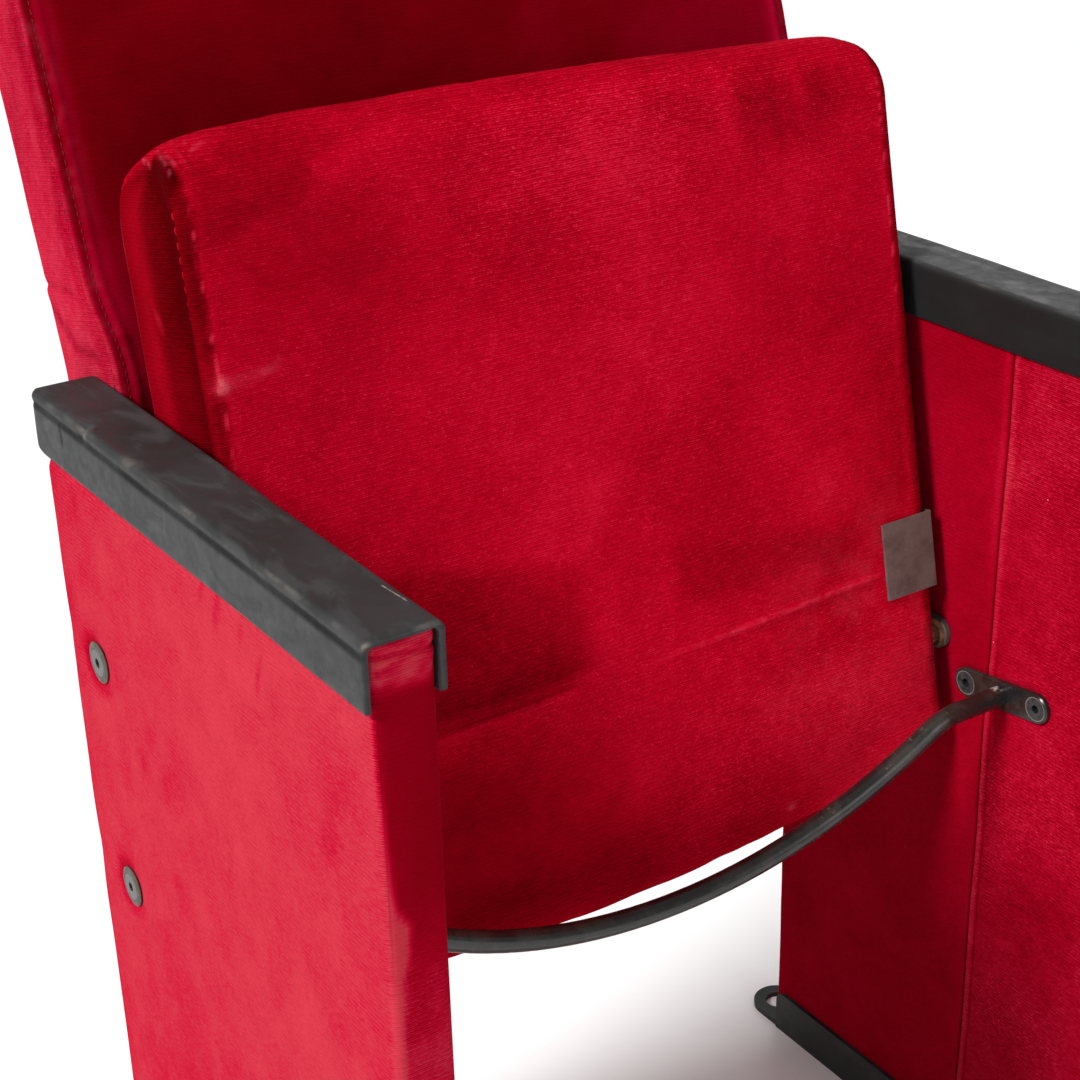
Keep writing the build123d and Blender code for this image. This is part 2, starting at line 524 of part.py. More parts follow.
# hinge bracket: a sleeve with a foot on the board, let into a notch
HB_X0, HB_X1 = 200.0, 224.0
sleeve_h = rod_x(HB_X0, HB_X1, 0, 0, HOUSING_R)
foot = block(HB_X0, HB_X1, bv1, bv1 + 3.0, -62, 62)
foot = fillet(foot.edges().filter_by(Axis.Y), 5.0)
hinge_bracket = (sleeve_h + foot) - rod_x(HB_X0 - 1, HB_X1 + 1, 0, 0, BUSH_R)
hinge_bush = rod_x(HB_X0, HB_X1, 0, 0, BUSH_R) + rod_x(HB_X1, HB_X1 + 1.5, 0, 0, HOUSING_R - 0.5)
hinge_bush = hinge_bush - rod_x(HB_X0 - 1, HB_X1 + 3, 0, 0, PIN_R + 0.05)
hinge_screws = []
screw_rooms = []
for zc in (-50.0, -26.0, 26.0, 50.0):
    prof = make_face(Polyline([(0, bv1 + 6.0), (2.4, bv1 + 6.0), (4.3, bv1 + 4.6), (4.3, bv1 + 3.0), (2.2, bv1 + 3.0), (2.2, bv1 - 8.0), (0.4, bv1 - 12.0), (0, bv1 - 12.0), (0, bv1 + 6.0)]))
    s = Pos(212.0, 0, zc) * revolve(prof, Axis.Y)
    screw_rooms.append(s)
    s = s - Pos(212.0, bv1 + 6.0, zc) * Rot(90, 0, 0) * extrude(Rectangle(4.0, 1.0) + Rectangle(1.0, 4.0), amount=1.4)
    hinge_screws.append(s)
    hinge_bracket = hinge_bracket - screw_rooms[-1]

# torsion spring round the pin
SP_R, SP_W, SP_PITCH, SP_TURNS = 8.55, 1.2, 2.9, 8.0
sp_x0 = 196.5
sp_len = SP_PITCH * SP_TURNS
helix = Helix(pitch=SP_PITCH, height=sp_len, radius=SP_R)
hp = Plane(origin=(sp_x0, 0, 0), x_dir=(0, -1, 0), z_dir=(-1, 0, 0))
h0, ht = helix @ 0, helix % 0
coil = sweep(Plane(origin=h0, z_dir=ht) * Circle(SP_W), path=helix)
leg = extrude(Plane(origin=h0, z_dir=ht) * Circle(SP_W), amount=-44.0)
coil = hp * coil
leg = hp * leg
leg_dir = leg.bounding_box()
return_spring = coil + leg
leg_groove = block(leg_dir.min.X - 0.4, leg_dir.max.X + 0.4, bv0 - 0.01, -SP_R + SP_W + 0.4, min(0, leg_dir.min.Z - 1.0), max(0, leg_dir.max.Z + 1.0))

# pockets for all this in the board and the foam
pocket = block(168.0, 226.01, bv0 - 0.01, bv1 + 0.01, -11.0, 11.0)
pocket = pocket + block(160.0, 201.0, bv0 - 0.01, bv1 + 0.01, -11.0, 11.0)
foam_pocket = rod_x(160.0, 226.01, 0, 0, HOUSING_R + 0.8) + block(HB_X0 - 0.5, HB_X1 + 0.5, bv1 - 0.01, bv1 + 3.3, -62.5, 62.5)
pin_room = rod_x(160.0, SEAT_HALF + 1, 0, 0, 8.5)
bush_room = rod_x(HB_X1 - 0.5, 226.01, 0, 0, HOUSING_R + 0.3)
for m in (lambda s: s, mirrored):
    seat_board = seat_board - m(pocket) - m(leg_groove)
    seat_foam = seat_foam - m(foam_pocket) - m(pin_room) - m(bush_room)
    seat_top_cover = seat_top_cover - m(pin_room)
    for r in screw_rooms:
        seat_board = seat_board - m(r)
        seat_foam = seat_foam - m(r)

# wear pads: bent round the lower edge of the underside
pad = block(190.0, SEAT_HALF + 1.5, SEAT_V0 - PAD_T, SEAT_V0, PAD_U0, PAD_U1)
pad = pad + block(SEAT_HALF, SEAT_HALF + 1.5, SEAT_V0 - PAD_T, SEAT_V0 + 14.0, PAD_U0, PAD_U1)
wear_pad = fillet(pad.edges().filter_by(Axis.Z).sort_by(lambda e: (e.center().X - 300) ** 2 + (e.center().Y + 60) ** 2)[:1], 1.2)

place = Pos(0, PIVOT_Y, PIVOT_Z) * Rot(-SEAT_LEAN, 0, 0)

# ---------------------------------------------------------------- nodes
def pair(name, s):
    put(name + "_right", s)
    put(name + "_left", mirrored(s))


pair("side_core", core)
pair("side_cover", sleeve)
pair("armrest_cap", cap)
pair("floor_shoe", shoe)
put("shoe_screws", *shoe_screws, *[mirrored(s) for s in shoe_screws])
put("cross_bar", cross_bar)
pair("bar_plate", bar_plate)
put("bar_bolts", *bar_bolts, *[mirrored(s) for s in bar_bolts])
put("bar_nuts", *bar_nuts, *[mirrored(s) for s in bar_nuts])
pair("pivot_plate", pivot_plate)
pair("pivot_pin", pivot_pin)
put("pivot_bolts", *pivot_bolts, *[mirrored(s) for s in pivot_bolts])
put("pivot_nuts", *pivot_nuts, *[mirrored(s) for s in pivot_nuts])
put("back_board", back_board)
put("back_foam", back_foam)
put("back_front_cover", back_front_cover)
put("back_rear_cover", back_rear_cover)
pair("back_bracket", back_bracket)
put("bracket_screws", *bracket_screws, *[mirrored(s) for s in bracket_screws])
put("back_bolts", *back_bolts, *[mirrored(s) for s in back_bolts])
put("cup_washers", *cup_washers, *[mirrored(s) for s in cup_washers])
pair("stop_buffer", stop_buffer)
put("seat_board", place * seat_board)
put("seat_foam", place * seat_foam)
put("seat_top_cover", place * seat_top_cover)
put("seat_under_cover", place * seat_under_cover)
pair("hinge_bracket", place * hinge_bracket)
pair("hinge_bush", place * hinge_bush)
put("hinge_screws", *[place * s for s in hinge_screws], *[mirrored(place * s) for s in hinge_screws])
pair("return_spring", place * return_spring)
pair("wear_pad", place * wear_pad)

os.makedirs("parts", exist_ok=True)
lo = [1e9] * 3
hi = [-1e9] * 3
for name, sol in OUT.items():
    moved = [Pos(0, -Y_SHIFT, 0) * s for s in sol]
    shape = moved[0] if len(moved) == 1 else Compound(children=moved)
    bb = shape.bounding_box()
    for i, (a, b) in enumerate(((bb.min.X, bb.max.X), (bb.min.Y, bb.max.Y), (bb.min.Z, bb.max.Z))):
        lo[i], hi[i] = min(lo[i], a), max(hi[i], b)
    export_step(shape, "parts/" + name + ".step")
    print("%-22s solids %d" % (name, len(sol)))
print("box", [round(v, 3) for v in lo], [round(v, 3) for v in hi], "shift error", round((lo[1] + hi[1]) / 2, 3))

# the down-stop angle: pads 0.3 mm above the bar
dy, dz = BAR_Y - PIVOT_Y, BAR_Z - PIVOT_Z
dd = sqrt(dy * dy + dz * dz)
drop = -SEAT_V0 + PAD_T + BAR_R + 0.3
alpha = degrees(atan2(dz, dy)) % 360 - degrees(asin(drop / dd))
print("seat_tip range max", round(alpha - (90 - SEAT_LEAN), 2), "front up by", round(180 - alpha, 2))
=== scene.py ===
import json
import math
import bpy
import numpy as np
from mathutils import Matrix, Vector
from mathutils.bvhtree import BVHTree


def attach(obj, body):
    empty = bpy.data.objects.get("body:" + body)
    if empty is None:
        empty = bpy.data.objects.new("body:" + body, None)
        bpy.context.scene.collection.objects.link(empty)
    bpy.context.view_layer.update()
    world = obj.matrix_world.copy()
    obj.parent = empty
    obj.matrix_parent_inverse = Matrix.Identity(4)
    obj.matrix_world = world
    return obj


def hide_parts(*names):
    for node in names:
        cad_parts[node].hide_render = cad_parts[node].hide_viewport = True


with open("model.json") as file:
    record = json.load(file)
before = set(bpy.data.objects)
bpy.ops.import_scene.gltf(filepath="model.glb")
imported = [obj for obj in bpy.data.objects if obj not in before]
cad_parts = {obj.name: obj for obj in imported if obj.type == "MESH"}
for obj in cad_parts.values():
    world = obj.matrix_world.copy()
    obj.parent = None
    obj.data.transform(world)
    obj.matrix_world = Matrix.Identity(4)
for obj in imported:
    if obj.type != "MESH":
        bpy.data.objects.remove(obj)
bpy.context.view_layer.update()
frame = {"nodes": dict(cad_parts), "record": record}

scene = bpy.context.scene
nodes = frame["nodes"]
scene.view_settings.view_transform = "Standard"

# The working frame of the sizes below: millimetres, Y = 0 at the front ends of the armrest caps.
Y_SHIFT = 221.76
LEAN = math.radians(11.2)           # lean of the tipped-up seat
SI, CO = math.sin(LEAN), math.cos(LEAN)
CAP_TOP, CAP_FLANGE = 634.7, 600.7
BACK_BOLTS = ((311.0, 491.2), (302.6, 352.6))
SEAT_HALF, SEAT_UNDER, SEAT_SIT, SEAT_FRONT = 228.0, -12.0, 73.0, 378.0
# bolt centres as (Y, Z, X of the head) in metres, in the model's own frame
BOLT_CENTRES = ((-0.05070, 0.37597, 0.2363), (-0.10962, 0.38363, 0.2363), (0.08924, 0.49120, 0.2764), (0.08084, 0.35260, 0.2764))


def metres(p):
    p = np.asarray(p, float).reshape(-1, 3)
    return np.stack([p[:, 0], p[:, 1] - Y_SHIFT, p[:, 2]], 1) / 1000.0


def millimetres(p):
    p = np.asarray(p, float).reshape(-1, 3) * 1000.0
    p[:, 1] += Y_SHIFT
    return p


def seat_uv(p):
    """u up the seat from its pivot, v from its underside towards its sitting side, for points in millimetres."""
    y, z = p[:, 1] - 200.0, p[:, 2] - 400.0
    return y * SI + z * CO, y * CO - z * SI


def seat_point(x, u, v):
    return np.stack([x, 200 + u * SI + v * CO, 400 + u * CO - v * SI], -1)


# ---------------------------------------------------------------- camera
def make_camera():
    focal = 2138.0
    m = np.array([(0.8324, -0.5536, -0.0247), (-0.2524, -0.3392, -0.9064), (0.4934, 0.7606, -0.4220)])
    u, _, v = np.linalg.svd(m)
    r, d, f = u @ v
    data = bpy.data.cameras.new("camera")
    data.sensor_width = 36.0
    data.lens = focal / 1080 * 36.0
    data.clip_start, data.clip_end = 0.05, 60
    ob = bpy.data.objects.new("camera", data)
    scene.collection.objects.link(ob)
    at = metres((-624.5, -670.7, 1029.4))[0]
    ob.matrix_world = Matrix([[r[i], -d[i], -f[i], at[i]] for i in range(3)] + [[0, 0, 0, 1]])
    scene.camera = ob


make_camera()


# ---------------------------------------------------------------- numbers
def lattice(i, j, k, seed):
    n = (i * 73856093) ^ (j * 19349663) ^ (k * 83492791) ^ (seed * 26544357)
    n &= 0xFFFFFFFF
    n = ((n ^ (n >> 13)) * 1274126177) & 0xFFFFFFFF
    n = ((n ^ (n >> 15)) * 668265263) & 0xFFFFFFFF
    return ((n ^ (n >> 16)) & 0xFFFFFFFF) / 4294967295.0 * 2 - 1


def vnoise(p, size, seed=0):
    """Smooth noise from -1 to 1; size is the length of its lattice in millimetres, one number or three."""
    q = np.asarray(p, float) / np.asarray(size, float) + 1000.37
    i = np.floor(q).astype(np.int64)
    f = q - i
    f = f * f * f * (f * (f * 6 - 15) + 10)
    out = 0
    for a in (0, 1):
        wa = f[:, 0] if a else 1 - f[:, 0]
        for b in (0, 1):
            wb = f[:, 1] if b else 1 - f[:, 1]
            for c in (0, 1):
                wc = f[:, 2] if c else 1 - f[:, 2]
                out = out + wa * wb * wc * lattice(i[:, 0] + a, i[:, 1] + b, i[:, 2] + c, seed)
    return out


def fbm(p, size, seed=0, octaves=3):
    out, amp, total = 0, 1.0, 0
    size = np.asarray(size, float)
    for o in range(octaves):
        out = out + amp * vnoise(p, size / 2 ** o, seed + 17 * o)
        total += amp
        amp *= 0.55
    return out / total


def step(x, a, b):
    t = np.clip((np.asarray(x, float) - a) / (b - a), 0, 1)
    return t * t * (3 - 2 * t)


def bell(x, c, w):
    return np.exp(-((np.asarray(x, float) - c) / w) ** 2)


def near_line(px, py, pts, width):
    """exp(-(d / width)^2) of the distance to a polyline, with the place along it from 0 to 1."""
    pts = np.array(pts, float)
    best, along = np.full(len(px), 1e9), np.zeros(len(px))
    n = len(pts) - 1
    for s in range(n):
        a, b = pts[s], pts[s + 1]
        d = b - a
        t = np.clip(((px - a[0]) * d[0] + (py - a[1]) * d[1]) / (d @ d), 0, 1)
        dist = np.hypot(px - a[0] - t * d[0], py - a[1] - t * d[1])
        closer = dist < best
        best = np.where(closer, dist, best)
        along = np.where(closer, (s + t) / n, along)
    return np.exp(-(best / width) ** 2), along


def segment(px, py, a, b):
    """The distance to the line from a to b."""
    dx, dy = b[0] - a[0], b[1] - a[1]
    t = np.clip(((px - a[0]) * dx + (py - a[1]) * dy) / (dx * dx + dy * dy), 0, 1)
    return np.hypot(px - a[0] - t * dx, py - a[1] - t * dy)


def near_line3(p, pts, width):
    """As near_line, for a polyline in space."""
    pts = np.array(pts, float)
    best, along, n = np.full(len(p), 1e9), np.zeros(len(p)), len(pts) - 1
    for s in range(n):
        a, d = pts[s], pts[s + 1] - pts[s]
        t = np.clip((p - a) @ d / (d @ d), 0, 1)
        dist = np.linalg.norm(p - a - t[:, None] * d, axis=1)
        along = np.where(dist < best, (s + t) / n, along)
        best = np.minimum(best, dist)
    return np.exp(-(best / width) ** 2), along


# ---------------------------------------------------------------- meshes
def new_object(name, verts_m, faces, smooth=True):
    me = bpy.data.meshes.new(name)
    me.from_pydata([tuple(v) for v in verts_m], [], [tuple(f) for f in faces])
    me.validate()
    me.update()
    if smooth:
        me.polygons.foreach_set("use_smooth", [True] * len(me.polygons))
    ob = bpy.data.objects.new(name, me)
    scene.collection.objects.link(ob)
    return ob


def coords(me):
    co = np.zeros(len(me.vertices) * 3)
    me.vertices.foreach_get("co", co)
    return co.reshape(-1, 3)


def set_coords(me, co):
    me.vertices.foreach_set("co", np.ascontiguousarray(co, dtype=np.float32).ravel())
    me.update()


def normals(me):
    n = np.zeros(len(me.vertices) * 3)
    me.vertices.foreach_get("normal", n)
    return n.reshape(-1, 3)


def apply_modifiers(ob):
    dg = bpy.context.evaluated_depsgraph_get()
    me = bpy.data.meshes.new_from_object(ob.evaluated_get(dg))
    ob.modifiers.clear()
    old, ob.data = ob.data, me
    me.name = ob.name
    bpy.data.meshes.remove(old)
    me.polygons.foreach_set("use_smooth", [True] * len(me.polygons))
    return ob


def from_nodes(name, names, voxel):
    """A closed skin round the named CAD solids, as even quads of about one voxel."""
    verts, faces, base = [], [], 0
    for n in names:
        me = nodes[n].data
        verts.append(coords(me))
        faces += [[base + i for i in p.vertices] for p in me.polygons]
        base += len(me.vertices)
    ob = new_object(name, np.concatenate(verts), faces)
    m = ob.modifiers.new("remesh", "REMESH")
    m.mode = "VOXEL"
    m.voxel_size = voxel
    m.adaptivity = 0
    return apply_modifiers(ob)


def largest_shell(ob):
    """Keeps the outer shell only, so nothing is left inside the skin."""
    me = ob.data
    n = len(me.vertices)
    e = np.zeros(len(me.edges) * 2, int)
    me.edges.foreach_get("vertices", e)
    e = e.reshape(-1, 2)
    label = np.arange(n)
    while True:
        low = np.minimum(label[e[:, 0]], label[e[:, 1]])
        new = label.copy()
        np.minimum.at(new, e[:, 0], low)
        np.minimum.at(new, e[:, 1], low)
        new = new[new]
        if (new == label).all():
            break
        label = new
    co = coords(me)
    best, keep = -1, None
    for v in np.unique(label):
        size = np.ptp(co[label == v], axis=0).sum() if (label == v).sum() > 8 else 0
        if size > best:
            best, keep = size, v
    if (label == keep).all():
        return ob
    mask = label == keep
    index = np.cumsum(mask) - 1
    faces = [[index[i] for i in p.vertices] for p in me.polygons if mask[p.vertices[0]]]
    name = ob.name
    new = bpy.data.meshes.new(name)
    new.from_pydata([tuple(v) for v in co[mask]], [], faces)
    new.update()
    new.polygons.foreach_set("use_smooth", [True] * len(new.polygons))
    old, ob.data = ob.data, new
    bpy.data.meshes.remove(old)
    return ob


def relax(ob, times, share=0.5, where=None):
    me = ob.data
    e = np.zeros(len(me.edges) * 2, int)
    me.edges.foreach_get("vertices", e)
    e = e.reshape(-1, 2)
    co = coords(me)
    count = np.bincount(e.ravel(), minlength=len(co)).astype(float)
    for _ in range(times):
        total = np.zeros_like(co)
        np.add.at(total, e[:, 0], co[e[:, 1]])
        np.add.at(total, e[:, 1], co[e[:, 0]])
        mean = total / count[:, None]
        w = share if where is None else share * where[:, None]
        co = co + (mean - co) * w
    set_coords(me, co)


def subdivide(ob, levels=1):
    m = ob.modifiers.new("subdivision", "SUBSURF")
    m.levels = m.render_levels = levels
    return apply_modifiers(ob)


def displace(ob, rule):
    """rule(points, normals) in millimetres gives the shift along the normal, or new points."""
    me = ob.data
    p, n = millimetres(coords(me)), normals(me)
    out = rule(p, n)
    q = p + n * out[:, None] if out.ndim == 1 else out
    set_coords(me, metres(q))


def attribute(ob, name, values):
    a = ob.data.attributes.get(name) or ob.data.attributes.new(name, "FLOAT", "POINT")
    a.data.foreach_set("value", np.ascontiguousarray(values, dtype=np.float32))


def puff(ob, pinned, pressure, cap, frames=20):
    """Cloth under pressure, with how far each point may move capped in millimetres."""
    rest = coords(ob.data)
    g = ob.vertex_groups.new(name="held")
    for level in (1.0, 0.6, 0.3):
        ids = np.nonzero(np.abs(pinned - level) < 0.01)[0]
        if len(ids):
            g.add([int(i) for i in ids], level, "REPLACE")
    m = ob.modifiers.new("cloth", "CLOTH")
    s = m.settings
    s.quality = 6
    s.mass = 0.25
    s.tension_stiffness = s.compression_stiffness = 20
    s.shear_stiffness = 10
    s.bending_stiffness = 1.5
    s.use_pressure = True
    s.uniform_pressure_force = pressure
    s.effector_weights.gravity = 0
    s.vertex_group_mass = "held"
    m.collision_settings.use_collision = False
    m.collision_settings.use_self_collision = False
    for f in range(1, frames + 1):
        scene.frame_set(f)
    ev = ob.evaluated_get(bpy.context.evaluated_depsgraph_get())
    moved = coords(ev.data)
    ob.modifiers.clear()
    ob.vertex_groups.clear()
    d = (moved - rest) * 1000
    far = np.linalg.norm(d, axis=1)
    cap = np.broadcast_to(cap, far.shape)
    d *= (cap * np.tanh(far / np.maximum(cap, 1e-6)) / np.maximum(far, 1e-6))[:, None]
    set_coords(ob.data, rest + d / 1000)
    scene.frame_set(1)


def box_grid(xs, ys, zs):
    """The closed surface of a box as a grid of quads on the given lines."""
    nx, ny, nz = len(xs), len(ys), len(zs)
    on = np.zeros((nx, ny, nz), bool)
    on[0] = on[-1] = True
    on[:, 0] = on[:, -1] = True
    on[:, :, 0] = on[:, :, -1] = True
    idx = -np.ones((nx, ny, nz), int)
    idx[on] = np.arange(on.sum())
    i, j, k = np.nonzero(on)
    verts = np.stack([xs[i], ys[j], zs[k]], 1)
    faces = []

    def add(a, flip):
        q = np.stack([a[:-1, :-1], a[1:, :-1], a[1:, 1:], a[:-1, 1:]], -1).reshape(-1, 4)
        faces.append(q[:, ::-1] if flip else q)

    add(idx[0], True)
    add(idx[-1], False)
    add(idx[:, 0], False)
    add(idx[:, -1], True)
    add(idx[:, :, 0], True)
    add(idx[:, :, -1], False)
    return verts, np.concatenate(faces)


def lines(*spans):
    """Grid lines from (start, end, about this spacing) spans that follow each other."""
    out = [spans[0][0]]
    for a, b, d in spans:
        n = max(1, int(round((b - a) / d)))
        out += list(np.linspace(a, b, n + 1)[1:])
    return np.array(out)


def stitches(name, runs, radius=0.42, sink=0.12):
    """Short rounded threads; runs is a list of (points, normals, length, gap) in millimetres."""
    verts, faces = [], []
    ring = 6
    for pts, nrm, length, gap in runs:
        pts, nrm = np.asarray(pts, float), np.asarray(nrm, float)
        seg = np.linalg.norm(np.diff(pts, axis=0), axis=1)
        at = np.concatenate([[0], np.cumsum(seg)])
        s = gap
        while s + length < at[-1]:
            t = np.array([s, s + length * 0.12, s + length * 0.5, s + length * 0.88, s + length])
            c = np.stack([np.interp(t, at, pts[:, i]) for i in range(3)], 1)
            n = np.stack([np.interp(t, at, nrm[:, i]) for i in range(3)], 1)
            n /= np.linalg.norm(n, axis=1)[:, None]
            d = c[-1] - c[0]
            d /= np.linalg.norm(d) + 1e-9
            side = np.cross(d, n)
            side /= np.linalg.norm(side, axis=1)[:, None]
            lift = np.array([-0.5, 0.35, 0.6, 0.35, -0.5]) * radius - sink
            wide = np.array([0.35, 0.85, 1.0, 0.85, 0.35]) * radius
            base = len(verts)
            for a in range(5):
                for r in range(ring):
                    ang = 2 * math.pi * r / ring
                    verts.append(c[a] + n[a] * (lift[a] + wide[a] * math.sin(ang)) + side[a] * wide[a] * math.cos(ang))
            for a in range(4):
                for r in range(ring):
                    b0, b1 = base + a * ring, base + (a + 1) * ring
                    faces.append((b0 + r, b0 + (r + 1) % ring, b1 + (r + 1) % ring, b1 + r))
            faces.append(tuple(base + r for r in reversed(range(ring))))
            faces.append(tuple(base + 4 * ring + r for r in range(ring)))
            s += length + gap
    ob = new_object(name, metres(np.array(verts)), faces)
    me = ob.data
    import bmesh
    bm = bmesh.new()
    bm.from_mesh(me)
    bmesh.ops.recalc_face_normals(bm, faces=bm.faces)
    bm.to_mesh(me)
    bm.free()
    me.polygons.foreach_set("use_smooth", [True] * len(me.polygons))
    return ob


def surface_of(ob):
    me = ob.data
    return BVHTree.FromPolygons([v.co.copy() for v in me.vertices], [tuple(p.vertices) for p in me.polygons])


def on_surface(tree, starts, way):
    """Where rays from the starts hit the surface, with its normals, in millimetres."""
    pts, nrm = [], []
    way = Vector(way).normalized()
    for s in metres(starts):
        hit, n, _, _ = tree.ray_cast(Vector(s), way)
        if hit is not None:
            pts.append(hit)
            nrm.append(n if n.dot(way) < 0 else -n)
    return millimetres(np.array(pts)), np.array(nrm)


# ---------------------------------------------------------------- materials
class Look:
    def __init__(self, name):
        self.mat = bpy.data.materials.new(name)
        self.mat.use_nodes = True
        self.t = self.mat.node_tree
        self.t.nodes.clear()
        self.out = self.t.nodes.new("ShaderNodeOutputMaterial")
        self.bsdf = self.t.nodes.new("ShaderNodeBsdfPrincipled")
        self.t.links.new(self.bsdf.outputs[0], self.out.inputs[0])
        self.obj = self.t.nodes.new("ShaderNodeTexCoord").outputs["Object"]

    def put(self, socket, value):
        if isinstance(value, bpy.types.NodeSocket):
            self.t.links.new(value, socket)
        elif hasattr(value, "__len__") and len(value) == 3 and socket.type == "RGBA":
            socket.default_value = (*value, 1)
        else:
            socket.default_value = value

    def math(self, op, a, b=None, c=None, clamp=False):
        n = self.t.nodes.new("ShaderNodeMath")
        n.operation = op
        n.use_clamp = clamp
        for i, x in enumerate((a, b, c)):
            if x is not None:
                self.put(n.inputs[i], x)
        return n.outputs[0]

    def place(self, scale=(1, 1, 1), rotation=(0, 0, 0), location=(0, 0, 0), vector=None):
        n = self.t.nodes.new("ShaderNodeMapping")
        self.put(n.inputs["Vector"], vector or self.obj)
        n.inputs["Scale"].default_value = scale
        n.inputs["Rotation"].default_value = rotation
        n.inputs["Location"].default_value = location
        return n.outputs[0]

    def noise(self, scale, vector=None, detail=3.0, rough=0.55, distortion=0.0):
        n = self.t.nodes.new("ShaderNodeTexNoise")
        self.put(n.inputs["Vector"], vector or self.obj)
        n.inputs["Scale"].default_value = scale
        n.inputs["Detail"].default_value = detail
        n.inputs["Roughness"].default_value = rough
        n.inputs["Distortion"].default_value = distortion
        return n.outputs["Fac"]

    def cells(self, scale, vector=None, feature="F1", out="Distance", randomness=1.0):
        n = self.t.nodes.new("ShaderNodeTexVoronoi")
        n.feature = feature
        self.put(n.inputs["Vector"], vector or self.obj)
        n.inputs["Scale"].default_value = scale
        n.inputs["Randomness"].default_value = randomness
        return n.outputs[out]

    def ramp(self, x, a, b, lo=0.0, hi=1.0, smooth=True):
        n = self.t.nodes.new("ShaderNodeMapRange")
        n.interpolation_type = "SMOOTHSTEP" if smooth else "LINEAR"
        self.put(n.inputs["Value"], x)
        for k, v in (("From Min", a), ("From Max", b), ("To Min", lo), ("To Max", hi)):
            n.inputs[k].default_value = v
        return n.outputs[0]

    def mix(self, f, a, b, kind="MIX"):
        n = self.t.nodes.new("ShaderNodeMix")
        n.data_type = "RGBA"
        n.blend_type = kind
        self.put(n.inputs["Factor"], f)
        self.put(n.inputs[6], a)
        self.put(n.inputs[7], b)
        return n.outputs[2]

    def attr(self, name):
        n = self.t.nodes.new("ShaderNodeAttribute")
        n.attribute_name = name
        return n.outputs["Fac"]

    def part(self, vector, axis):
        n = self.t.nodes.new("ShaderNodeSeparateXYZ")
        self.put(n.inputs[0], vector)
        return n.outputs[axis]

    def bump(self, height, strength, distance, normal=None):
        n = self.t.nodes.new("ShaderNodeBump")
        self.put(n.inputs["Height"], height)
        n.inputs["Strength"].default_value = strength
        n.inputs["Distance"].default_value = distance
        if normal is not None:
            self.put(n.inputs["Normal"], normal)
        return n.outputs[0]

    def set(self, **values):
        names = {"color": "Base Color", "rough": "Roughness", "metal": "Metallic", "normal": "Normal", "sheen": "Sheen Weight",
                 "sheen_rough": "Sheen Roughness", "sheen_tint": "Sheen Tint", "coat": "Coat Weight", "coat_rough": "Coat Roughness",
                 "spec": "Specular IOR Level", "ior": "IOR"}
        for k, v in values.items():
            self.put(self.bsdf.inputs[names[k]], v)
        return self.mat


